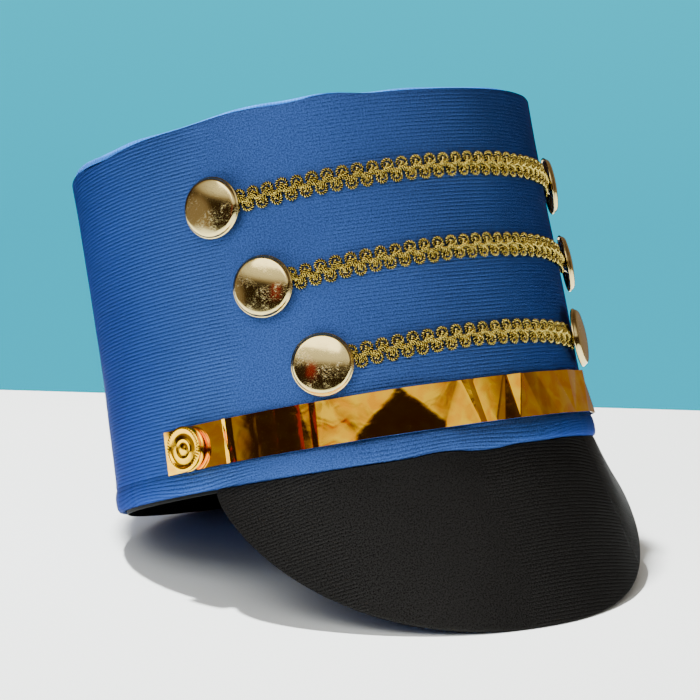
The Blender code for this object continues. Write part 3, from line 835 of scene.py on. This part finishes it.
def make_sweatband():
    """Thin tape inside the rim, waving a little along its free upper edge."""
    angles = np.linspace(-180.0, 180.0, ROUND_STEPS, endpoint=False)
    low = wave(RIM_WAVES, angles) - SWEATBAND_SHOW
    outer = WALL + CLEARANCE
    inner = outer + SWEATBAND_THICK
    up = np.linspace(0.0, 1.0, 9)
    section = [(-outer, share) for share in up[::-1]]
    section.append((-0.5 * (outer + inner), -0.01))
    section.extend((-inner, share) for share in up)
    section.append((-0.5 * (outer + inner), 1.01))
    outward, share = np.array(section).T
    height = low[:, None] + share[None, :] * (SWEATBAND_HEIGHT - low)[:, None]
    sway = SWEATBAND_SWAY * np.sin(np.radians(angles * 11.0)) * np.sin(np.radians(angles * 4.0))
    stand_off = outward[None, :] - np.abs(sway)[:, None] * share[None, :] ** 2
    points = wall(angles[:, None], height, stand_off)
    inside = outward[None, :] < -inner + 0.0001
    cloth_map = round_map(angles, np.vstack((height, height[:1])) + 0.001 * inside, 0.0)
    return grid_object("sweatband_tape", points, cloth_map, (True, True), BLACK_TAPE)


# Visor

def visor_ruling(share, inset):
    """Start and direction of the straight line down the visor at a share of its spread."""
    degrees = share * VISOR_SPREAD
    start = wall(degrees, -CLEARANCE, -inset)
    outward = start - wall(degrees, -CLEARANCE, -inset - 0.01)
    outward = outward / np.linalg.norm(outward)
    flare = (VISOR_DROOP_FRONT - VISOR_DROOP_SIDE) * abs(share) ** VISOR_FLARE_POWER
    droop = math.radians(VISOR_DROOP_FRONT - flare)
    return start, outward * math.cos(droop) - np.array((0.0, 0.0, math.sin(droop)))


def visor_reach(share):
    outline = (1.0 - abs(share) ** VISOR_SQUARENESS) ** VISOR_FULLNESS
    return VISOR_CORNER + (VISOR_LENGTH - VISOR_CORNER) * outline


def flat_pattern(shares, length):
    """The visor's cloth rolled out flat: start and direction of each line, from the front."""
    lines = [visor_ruling(share, VISOR_INSET) for share in shares]
    middle = len(shares) // 2
    flat = {middle: (np.array((0.0, 0.0)), np.array((0.0, -1.0)))}
    for side in (1, -1):
        index = middle
        while 0 <= index + side < len(shares):
            start, along = lines[index]
            next_start, next_along = lines[index + side]
            flat_start, flat_along = flat[index]
            across = np.array((-flat_along[1], flat_along[0]))
            if across[0] * side < 0.0:
                across = -across
            placed = []
            for target in (next_start, next_start + next_along * length):
                step = target - start
                down = float(step @ along)
                over = math.sqrt(max(float(step @ step) - down * down, 0.0))
                placed.append(flat_start + flat_along * down + across * over)
            direction = placed[1] - placed[0]
            flat[index + side] = (placed[0], direction / np.linalg.norm(direction))
            index += side
    return [flat[index] for index in range(len(shares))]


def make_visor():
    """Bent peak under the rim. Its ribs run straight across the flat-cut cloth."""
    steps = VISOR_STEPS
    shares = np.sin(0.5 * np.pi * (2.0 * np.arange(steps + 1) / steps - 1.0) * 0.985)
    half = 0.5 * VISOR_WALL
    start, along = visor_ruling(RESTING_SHARE, VISOR_INSET + half)
    front = start + along * visor_reach(RESTING_SHARE)
    slope = math.tan(math.radians(-LEAN))
    rows = [(VISOR_INSET, part, 0.0) for part in np.linspace(0.0, 0.97, 28)]
    rows.extend(
        (VISOR_INSET + half * (1.0 - math.cos(turn)), 1.0, half * (1.0 - math.sin(turn)))
        for turn in np.radians((0.0, 22.5, 45.0, 67.5, 90.0, 112.5, 135.0, 157.5, 180.0)))
    rows.extend((VISOR_INSET + VISOR_WALL, part, 0.0) for part in np.linspace(0.97, 0.0, 16))
    pattern = flat_pattern(shares, 0.5 * VISOR_LENGTH)
    points = np.empty((steps + 1, len(rows), 3))
    cloth_map = np.empty((steps + 1, len(rows) + 1, 2))
    for index, share in enumerate(shares):
        lift = float(wave(RIM_WAVES, share * VISOR_SPREAD))
        flat_start, flat_along = pattern[index]
        for row, (inset, part, shortening) in enumerate(rows):
            start, along = visor_ruling(share, inset)
            # Distance down the line to the table, where the edge is cut flat
            above = front[2] + slope * (start[1] - front[1]) - start[2]
            to_table = above / (along[2] - slope * along[1])
            length = min(visor_reach(share) * part, to_table) - shortening
            points[index, row] = start + along * length
            points[index, row, 2] += (1.0 - part) * lift
            cloth_map[index, row] = flat_start + flat_along * length
    cloth_map[:, -1] = cloth_map[:, 0]
    fade = np.minimum(1.0, np.abs(np.array([row[1] for row in rows])) * 6.0)
    points[..., 1] -= crumple(points, VISOR_UNEVEN) * fade[None, :]
    return grid_object("visor_cloth", points, cloth_map, (False, True), BLACK_SATIN, capped=True)


# Foil band

def band_height(degrees):
    return BAND_BOTTOM - BAND_DROOP * (degrees / BAND_SPREAD) ** 2


def foil_facets():
    """Vertices (angle, height, lift) and triangles of the creased strip, cut up finely."""
    spots = [Vector((angle / 100.0, height * 0.1)) for angle, height, _ in FOIL_POINTS]
    result = delaunay_2d_cdt(spots, [], [], 0, 1e-6)
    corners, triangles, sources = result[0], result[2], result[3]
    lifts = [FOIL_POINTS[origin[0]][2] if origin else 0.0 for origin in sources]
    cuts = FOIL_CUTS
    vertices, keys, faces = [], {}, []
    for triangle in triangles:
        a, b, c = (
            np.array((corners[index][0] * 100.0, corners[index][1] * 10.0, lifts[index]))
            for index in triangle)
        # Wide facets swell a little, narrow ones stay flat
        size = 0.5 * abs((b[0] - a[0]) * (c[1] - a[1]) - (c[0] - a[0]) * (b[1] - a[1]))
        pillow = FOIL_PILLOW * min(1.0, size / WIDE_FACET) ** 2 * 27.0 / cuts ** 3
        numbers = {}
        for i in range(cuts + 1):
            for j in range(cuts + 1 - i):
                spot = a + (b - a) * i / cuts + (c - a) * j / cuts
                spot[2] += pillow * i * j * (cuts - i - j)
                key = (round(spot[0], 4), round(spot[1], 4))
                if key not in keys:
                    keys[key] = len(vertices)
                    vertices.append(spot)
                numbers[i, j] = keys[key]
        for i in range(cuts):
            for j in range(cuts - i):
                faces.append((numbers[i, j], numbers[i + 1, j], numbers[i, j + 1]))
                if i + j < cuts - 1:
                    faces.append((numbers[i + 1, j], numbers[i + 1, j + 1], numbers[i, j + 1]))
    return np.array(vertices), faces


def make_front_band():
    """Gold film strip with sharp creases that run between its two edges."""
    vertices, faces = foil_facets()
    degrees, height, lift = vertices.T
    level = band_height(degrees) + height * BAND_WIDTH
    flat = np.stack((degrees * 0.0016, level, np.zeros_like(level)), axis=-1)
    end = np.clip((BAND_SPREAD - np.abs(degrees)) / FOIL_END, 0.0, 1.0)
    soft = crumple(flat, FOIL_UNEVEN) * end
    stand_off = 2.0 * CLEARANCE + FOIL_THICK + lift * FOLD_DEPTH + np.abs(soft)
    outer = wall(degrees, level, stand_off)
    inner = wall(degrees, level, stand_off - FOIL_THICK)
    count = len(vertices)
    edges = [pair for a, b, c in faces for pair in ((a, b), (b, c), (c, a))]
    both_ways = set(edges)
    rim = [pair for pair in edges if (pair[1], pair[0]) not in both_ways]
    all_faces = list(faces)
    all_faces.extend((c + count, b + count, a + count) for a, b, c in faces)
    all_faces.extend((b, a, a + count, b + count) for a, b in rim)
    degrees_at, lengths = arc_length(BAND_BOTTOM)
    along = np.interp(degrees, degrees_at, lengths)
    strip = np.stack((np.tile(along, 2), np.tile(level, 2)), axis=-1)
    return mapped_object(
        "front_band_foil", np.vstack((outer, inner)), all_faces, "cloth", strip, GOLD_FOIL,
        sharp=30.0)


# Buttons

def dome_profile():
    """Pressed cap: shallow dome, rolled rim, hollow back and shank."""
    under = DOME_STANDOFF - CLEARANCE
    rim_top = under + DOME_RIM
    inside = DOME_RADIUS - 0.45 * DOME_RIM
    shoulder = 0.90 * inside
    cap_rise = 0.44 * DOME_RISE
    ball = (shoulder ** 2 + cap_rise ** 2) / (2.0 * cap_rise)
    profile = []
    for share in np.linspace(0.0, 1.0, 12) ** 0.8:
        radius = shoulder * share
        profile.append((radius, rim_top + DOME_RISE - ball + math.sqrt(ball ** 2 - radius ** 2)))
    slope = math.tan(math.asin(shoulder / ball))
    for share in np.linspace(0.0, 1.0, 9)[1:]:
        radius = shoulder + (inside - shoulder) * share
        fall = slope * (radius - shoulder)
        bend = (DOME_RISE - cap_rise - slope * (inside - shoulder)) * share ** 1.7
        profile.append((radius, rim_top + DOME_RISE - cap_rise - fall - bend))
    profile.extend((
        (DOME_RADIUS - 0.30 * DOME_RIM, rim_top - 0.12 * DOME_RIM),
        (DOME_RADIUS - 0.12 * DOME_RIM, rim_top - 0.28 * DOME_RIM),
        (DOME_RADIUS, rim_top - 0.56 * DOME_RIM),
        (DOME_RADIUS - 0.08 * DOME_RIM, rim_top - 0.80 * DOME_RIM),
        (DOME_RADIUS - 0.30 * DOME_RIM, under),
        (DOME_RADIUS - 0.75 * DOME_RIM, under + 0.10 * DOME_RIM),
        (DOME_RADIUS - 0.95 * DOME_RIM, under + 0.60 * DOME_RIM),
        (SHANK_RADIUS * 1.5, under + 1.1 * DOME_RIM),
        (SHANK_RADIUS * 1.1, under + 0.6 * DOME_RIM),
        (SHANK_RADIUS, under),
        (SHANK_RADIUS, 0.0),
        (0.0, 0.0),
    ))
    return profile


def band_button_profile():
    """Small coin-like button: sunk face with plain raised rings and a corded edge."""
    radius = BAND_BUTTON_RADIUS
    thick = BAND_BUTTON_THICK
    rows = (
        # share of the radius, share of the thickness
        (0.0, 0.92), (0.07, 0.92), (0.12, 0.90), (0.16, 0.84), (0.30, 0.83), (0.36, 0.85),
        (0.40, 0.90), (0.44, 0.90), (0.48, 0.85), (0.53, 0.82), (0.66, 0.80), (0.74, 0.80),
        (0.78, 0.84), (0.80, 0.92), (0.84, 0.99), (0.89, 1.00), (0.94, 0.97), (0.98, 0.90),
        (1.0, 0.80), (1.0, 0.62), (0.96, 0.56), (0.95, 0.48), (0.96, 0.40), (1.0, 0.33),
        (1.0, 0.12), (0.97, 0.04), (0.92, 0.0), (0.40, 0.0), (0.0, 0.0),
    )
    return [(share * radius, rise * thick) for share, rise in rows]


def corded_edge(angle, radius, height):
    """Slanting notches round the raised rim, as on a roped edge."""
    share = radius / BAND_BUTTON_RADIUS
    on_rim = np.exp(-((share - RIM_MIDDLE) / RIM_SPREAD) ** 2)
    on_rim = on_rim * (height > 0.7 * BAND_BUTTON_THICK)
    notch = np.cos(NOTCHES * angle + NOTCH_SLANT * share)
    return radius * (1.0 + NOTCH_REACH * on_rim * notch), height + NOTCH_DEPTH * on_rim * notch


# Gimp braid

def new_tree(name, sockets):
    """Geometry tree with named inputs, and its input and output nodes."""
    tree = bpy.data.node_groups.new(name, "GeometryNodeTree")
    tree.interface.new_socket(name="Geometry", in_out="INPUT", socket_type="NodeSocketGeometry")
    tree.interface.new_socket(name="Geometry", in_out="OUTPUT", socket_type="NodeSocketGeometry")
    for socket, kind in sockets:
        tree.interface.new_socket(name=socket, in_out="INPUT", socket_type=kind)
    return tree, add_node(tree, "NodeGroupInput"), add_node(tree, "NodeGroupOutput")


def run_tree(name, mesh, tree, values, material):
    """Plain object made by a geometry tree from a mesh, with the tree's inputs set."""
    base = linked_object(name + "_base", mesh)
    modifier = base.modifiers.new("Build", "NODES")
    modifier.node_group = tree
    for item in tree.interface.items_tree:
        if item.item_type == "SOCKET" and item.in_out == "INPUT" and item.name in values:
            modifier[item.identifier] = values[item.name]
    base.update_tag()
    bpy.context.view_layer.update()
    result = base.evaluated_get(bpy.context.evaluated_depsgraph_get())
    made = bpy.data.meshes.new_from_object(result)
    made.name = name
    base.modifiers.remove(modifier)
    bpy.data.objects.remove(base, do_unlink=True)
    if material.name not in [slot.name for slot in made.materials if slot]:
        made.materials.append(material)
    return linked_object(name, made)


def gimp_tree():
    """Coiled loops on points, and a core cord along edges, all of twisted cord."""
    sizes = ("Cord Radius", "Core Radius", "Twist", "Loop Radius", "Row Offset", "Step")
    tree, given, out = new_tree("gimp_braid", (
        *((size, "NodeSocketFloat") for size in sizes),
        ("Seed", "NodeSocketInt"),
        ("Material", "NodeSocketMaterial"),
    ))
    source = given.outputs
    facing, stretch, is_loop = (
        add_node(tree, "GeometryNodeInputNamedAttribute", {"Name": label}, data_type=kind)
        for label, kind in (
            ("facing", "FLOAT_VECTOR"), ("stretch", "FLOAT_VECTOR"), ("is_loop", "FLOAT")))
    # One loop lies flat, centred on the origin: an outer ring, a coil inside it, and tails
    ring = add_node(tree, "GeometryNodeCurvePrimitiveCircle", {
        "Resolution": 40, "Radius": source["Loop Radius"]})
    coil_start, coil_end = (
        add_node(tree, MATH, {0: source["Loop Radius"], 1: share}, operation="MULTIPLY")
        for share in (COIL_START, COIL_END))
    coil = add_node(tree, "GeometryNodeCurveSpiral", {
        "Resolution": 24, "Rotations": COIL_TURNS, "Start Radius": coil_start,
        "End Radius": coil_end, "Height": COIL_RISE})
    sunk = add_node(tree, "GeometryNodeTransform", {
        "Geometry": coil, "Translation": (0.0, 0.0, -COIL_SINK)})
    strands = [ring, sunk]
    for stations in TAIL_CURVES:
        places = {
            name: (x * LOOP_RADIUS, y * LOOP_RADIUS, z) for name, (x, y, z) in
            zip(("Start", "Start Handle", "End Handle", "End"), stations)}
        strands.append(add_node(
            tree, "GeometryNodeCurvePrimitiveBezierSegment", {"Resolution": 20, **places}))
    unit = add_node(tree, "GeometryNodeJoinGeometry")
    for strand in strands:
        tree.links.new(strand.outputs[0], unit.inputs[0])
    centre = add_node(tree, "ShaderNodeCombineXYZ", {"Y": source["Row Offset"]})
    placed = add_node(tree, "GeometryNodeTransform", {"Geometry": unit, "Translation": centre})
    jitter = add_node(tree, "FunctionNodeRandomValue", {
        0: (0.95, 0.95, 0.8), 1: (1.05, 1.04, 1.2), "Seed": source["Seed"]},
        data_type="FLOAT_VECTOR")
    scale = add_node(
        tree, "ShaderNodeVectorMath", {0: stretch, 1: jitter}, operation="MULTIPLY")
    loops = add_node(tree, "GeometryNodeInstanceOnPoints", {
        "Points": source["Geometry"], "Selection": is_loop, "Instance": placed,
        "Rotation": facing, "Scale": scale})
    real = add_node(tree, "GeometryNodeRealizeInstances", {"Geometry": loops})
    core = add_node(tree, "GeometryNodeMeshToCurve", {"Mesh": source["Geometry"]})
    both = add_node(tree, "GeometryNodeJoinGeometry")
    for curve, radius in ((real, source["Cord Radius"]), (core, source["Core Radius"])):
        even = add_node(tree, "GeometryNodeResampleCurve", {
            "Curve": curve, "Length": source["Step"]}, mode="LENGTH")
        reach = add_node(tree, "GeometryNodeSplineParameter").outputs["Length"]
        angle = add_node(tree, MATH, {0: reach, 1: 2.0 * math.pi}, operation="MULTIPLY")
        angle = add_node(tree, MATH, {0: angle, 1: source["Twist"]}, operation="DIVIDE")
        twisted = add_node(tree, "GeometryNodeSetCurveTilt", {"Curve": even, "Tilt": angle})
        circle = add_node(tree, "GeometryNodeCurvePrimitiveCircle", {
            "Resolution": 6, "Radius": radius})
        # Painted highlight and shade: the outer points of the cord's oval are marked, and the
        # thread is painted bright there and near black between them
        spot = add_node(tree, "ShaderNodeSeparateXYZ", {
            "Vector": add_node(tree, "GeometryNodeInputPosition")})
        painted_crest_light = add_node(tree, MATH, {0: spot}, operation="ABSOLUTE")
        painted_crest_light = add_node(tree, MATH, {0: painted_crest_light, 1: radius}, operation="DIVIDE")
        marked = add_node(tree, "GeometryNodeStoreNamedAttribute", {
            "Geometry": circle, "Name": "painted_crest_light", "Value": painted_crest_light},
            data_type="FLOAT", domain="POINT")
        oval = add_node(tree, "GeometryNodeTransform", {
            "Geometry": marked, "Scale": CORD_OVAL})
        cord = add_node(tree, "GeometryNodeCurveToMesh", {
            "Curve": twisted, "Profile Curve": oval, "Fill Caps": True})
        tree.links.new(cord.outputs[0], both.inputs[0])
    smooth = add_node(tree, "GeometryNodeSetShadeSmooth", {"Geometry": both})
    flat = add_node(tree, "GeometryNodeRealizeInstances", {"Geometry": smooth})
    painted = add_node(tree, "GeometryNodeSetMaterial", {
        "Geometry": flat, "Material": source["Material"]})
    tree.links.new(painted.outputs[0], out.inputs[0])
    return tree


def braid_height(degrees, height, droop, right, left):
    half_spread = 0.5 * (left - right)
    middle = 0.5 * (left + right)
    return (height - droop * ((degrees - middle) / half_spread) ** 2) * CROWN_HEIGHT


def make_braid(tree, name, height, droop, right, left, seed):
    """Two rows of loops half a pitch apart, with two core cords that cross between them."""
    under_button = math.degrees((SHANK_RADIUS + 2.0 * CLEARANCE) / (0.5 * BASE_WIDTH))
    degrees, lengths = arc_length(height * CROWN_HEIGHT)
    begin, end = np.interp((right + under_button, left - under_button), degrees, lengths)
    count = round((end - begin) / LOOP_PITCH)
    pitch = (end - begin) / count
    lift = CLEARANCE + CORD_RADIUS
    vertices, facing, stretch, is_loop, edges = [], [], [], [], []

    def angle_at(distance):
        return float(np.interp(distance, lengths, degrees))

    def level_at(angle):
        return braid_height(angle, height, droop, right, left)

    def add_point(place, turn, scale, loop):
        vertices.append(tuple(place))
        facing.append(tuple(turn))
        stretch.append(scale)
        is_loop.append(loop)

    for row, offset in ((1.0, 0.25), (-1.0, 0.75)):
        for step in range(count):
            angle = angle_at(begin + (step + offset) * pitch)
            place = wall_frame(angle, level_at(angle), lift)
            ahead = angle + 0.5
            slope = level_at(ahead) - level_at(angle)
            run = wall(ahead, height * CROWN_HEIGHT) - wall(angle, height * CROWN_HEIGHT)
            tilt = math.atan2(slope, float(np.linalg.norm(run)))
            turn = LEAN_BACK @ place @ Matrix.Rotation(tilt, 4, "Z")
            add_point(turn.translation, turn.to_euler(), (1.0, row, 1.0), 1.0)
    samples = count * CORE_STEPS
    for side in (1.0, -1.0):
        for index in range(samples + 1):
            distance = begin + (end - begin - 0.8 * pitch) * index / samples
            angle = angle_at(distance)
            phase = math.pi * (distance - begin) / pitch
            level = level_at(angle) + side * CORE_SWAY * math.sin(phase)
            off = lift + CORE_LIFT + side * CORE_CROSSING * math.cos(phase)
            place = LEAN_BACK @ Vector(wall(angle, level, off))
            add_point(place, (0.0, 0.0, 0.0), (1.0, 1.0, 1.0), 0.0)
            if index:
                edges.append((len(vertices) - 2, len(vertices) - 1))
    mesh = bpy.data.meshes.new(name + "_base")
    mesh.from_pydata(vertices, edges, [])
    for label, kind, field, values in (
            ("facing", "FLOAT_VECTOR", "vector", facing),
            ("stretch", "FLOAT_VECTOR", "vector", stretch),
            ("is_loop", "FLOAT", "value", is_loop)):
        attribute = mesh.attributes.new(label, kind, "POINT")
        attribute.data.foreach_set(field, np.array(values, dtype=np.float32).ravel())
    return run_tree(name, mesh, tree, {
        "Cord Radius": CORD_RADIUS,
        "Core Radius": CORE_SHARE * CORD_RADIUS,
        "Twist": CORD_TWIST,
        "Loop Radius": LOOP_RADIUS,
        "Row Offset": ROW_OFFSET,
        "Step": CORD_STEP,
        "Seed": seed,
        "Material": GOLD_THREAD,
    }, GOLD_THREAD)


# Putting the pieces on the model

def dress(obj, node):
    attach(obj, "root")
    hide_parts(node)


dress(make_crown_side(), "crown_side")
dress(make_crown_top(), "crown_top")
dress(make_sweatband(), "sweatband")
dress(make_visor(), "visor")
dress(make_front_band(), "front_band")

for side, sign in (("right", -1.0), ("left", 1.0)):
    level = band_height(BAND_BUTTON_ANGLE) + 0.5 * BAND_WIDTH
    place = wall_frame(sign * BAND_BUTTON_ANGLE, level, BAND_BUTTON_SEAT)
    button = turned_object(
        f"band_button_{side}_fine", band_button_profile(), BAND_BUTTON_STEPS, place,
        STAMPED_GOLD, corded_edge)
    dress(button, f"band_button_{side}")

braid_tree = gimp_tree()
for number, (name, height, droop, right, left) in enumerate(BRAIDS):
    cord = make_braid(braid_tree, f"braid_{name}_cord", height, droop, right, left, number + 5)
    dress(cord, f"braid_{name}")
    for side, degrees in (("right", right), ("left", left)):
        level = braid_height(degrees, height, droop, right, left)
        place = wall_frame(degrees, level, CLEARANCE)
        button = turned_object(
            f"dome_button_{name}_{side}_fine", dome_profile(), DOME_STEPS, place, GOLD_PLATE)
        dress(button, f"dome_button_{name}_{side}")


# Floor, light and camera

def make_floor():
    """White laminate table top: smooth and matt, so the eye gets a plain pale ground."""
    material, tree, shader = new_material("white_laminate")
    place = add_node(tree, "ShaderNodeTexCoord").outputs["Object"]
    cloud = add_node(tree, NOISE, {"Vector": place, "Scale": 3.0})
    shade = add_node(
        tree, MIX, {0: cloud, 6: srgb("#F2F8F5"), 7: srgb("#F8FCFA")}, data_type="RGBA")
    set_inputs(tree, shader, {"Base Color": shade.outputs[2], "Roughness": 0.7})
    turn = math.radians(TABLE_TURN)
    corners = ((-1.1, -0.75), (1.1, -0.75), (1.1, TABLE_BACK), (-1.1, TABLE_BACK))
    vertices = [
        (x * math.cos(turn) - y * math.sin(turn), x * math.sin(turn) + y * math.cos(turn),
         -0.0001) for x, y in corners]
    mesh = bpy.data.meshes.new("table_top")
    mesh.from_pydata(vertices, [], [(0, 1, 2, 3)])
    mesh.materials.append(material)
    linked_object("table_top", mesh)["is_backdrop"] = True


def make_world():
    """Soft room light: bright above, dim along the horizon. The lens sees a teal backdrop."""
    world = bpy.data.worlds.new("studio_room")
    bpy.context.scene.world = world
    world.use_nodes = True
    tree = world.node_tree
    tree.nodes.clear()
    place = add_node(tree, "ShaderNodeTexCoord").outputs["Generated"]
    up = add_node(tree, "ShaderNodeSeparateXYZ", {"Vector": place}).outputs[2]

    def facing(azimuth, low, high, least, most):
        """A value that grows from least to most towards an azimuth."""
        level = add_node(
            tree, "ShaderNodeVectorMath", {0: place, 1: tuple(toward(azimuth, 0.0))},
            operation="DOT_PRODUCT").outputs["Value"]
        return add_node(
            tree, MAP_RANGE, {0: level, 1: low, 2: high, 3: least, 4: most},
            interpolation_type="SMOOTHSTEP")

    above = add_node(
        tree, MAP_RANGE, {0: up, 1: 0.28, 2: 0.42, 3: 0.0, 4: 1.0},
        interpolation_type="SMOOTHSTEP")
    ceiling = add_node(
        tree, MATH, {0: above, 1: facing(-40.0, 0.0, 0.6, 0.18, 1.22)}, operation="MULTIPLY")
    pale_wall = facing(-106.0, 0.93, 0.975, 0.0, 0.45)
    far_wall = facing(92.0, 0.40, 0.95, 0.05, 0.42)
    low = add_node(tree, MATH, {0: pale_wall, 1: far_wall}, operation="MAXIMUM")
    bright = add_node(tree, MATH, {0: ceiling, 1: low}, operation="MAXIMUM")
    warmth = add_node(
        tree, MIX, {0: bright, 6: srgb("#B98A5E"), 7: srgb("#FDFAF2")}, data_type="RGBA")
    fade = add_node(tree, MAP_RANGE, {0: up, 1: -0.12, 2: 0.06})
    teal = add_node(
        tree, MIX, {0: fade, 6: srgb("#00A4BE"), 7: srgb("#10B4CA")}, data_type="RGBA")
    backdrop = add_node(
        tree, "ShaderNodeBackground", {"Color": teal.outputs[2], "Strength": 1.7})
    light = add_node(
        tree, "ShaderNodeBackground", {"Color": warmth.outputs[2], "Strength": bright})
    seen = add_node(tree, "ShaderNodeLightPath").outputs["Is Camera Ray"]
    both = add_node(tree, "ShaderNodeMixShader", {0: seen, 1: light, 2: backdrop})
    add_node(tree, "ShaderNodeOutputWorld", {"Surface": both})


def make_light(name, azimuth, elevation, distance, width, height, power, colour, in_gloss):
    """Soft box that looks at the hat from an azimuth and elevation."""
    data = bpy.data.lights.new(name, "AREA")
    data.shape = "RECTANGLE"
    data.size = width
    data.size_y = height
    data.energy = power
    data.color = srgb(colour)[:3]
    obj = linked_object(name, data)
    away = toward(azimuth, elevation)
    obj.location = Vector((0.0, 0.0, LIGHT_AIM)) + away * distance
    obj.rotation_euler = away.to_track_quat("Z", "Y").to_euler()
    obj.visible_camera = False
    obj.visible_glossy = in_gloss


def make_camera():
    """Camera at the photograph's place, turned and rolled as it was."""
    data = bpy.data.cameras.new("camera")
    data.lens = CAMERA_LENS
    data.sensor_width = CAMERA_SENSOR
    turn, roll = math.radians(CAMERA_AZIMUTH), math.radians(CAMERA_ROLL)
    back = toward(CAMERA_AZIMUTH, CAMERA_ELEVATION)
    right = Vector((math.cos(turn), math.sin(turn), 0.0))
    up = back.cross(right)
    side = right * math.cos(roll) + up * math.sin(roll)
    over = up * math.cos(roll) - right * math.sin(roll)
    obj = linked_object("camera", data)
    turned = Matrix((side, over, back)).transposed().to_4x4()
    obj.matrix_world = Matrix.Translation(CAMERA_PLACE) @ turned
    bpy.context.scene.camera = obj


make_floor()
make_world()
for row in LIGHTS:
    make_light(*row)
make_camera()


def as_list(value):
    """Bounds as plain lists of numbers."""
    if isinstance(value, dict):
        return {key: as_list(part) for key, part in value.items()}
    if hasattr(value, "__len__"):
        return [as_list(part) for part in value]
    return float(value)


str({"cad": as_list(cad_box), "visual": as_list(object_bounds())}).replace("'", '"')
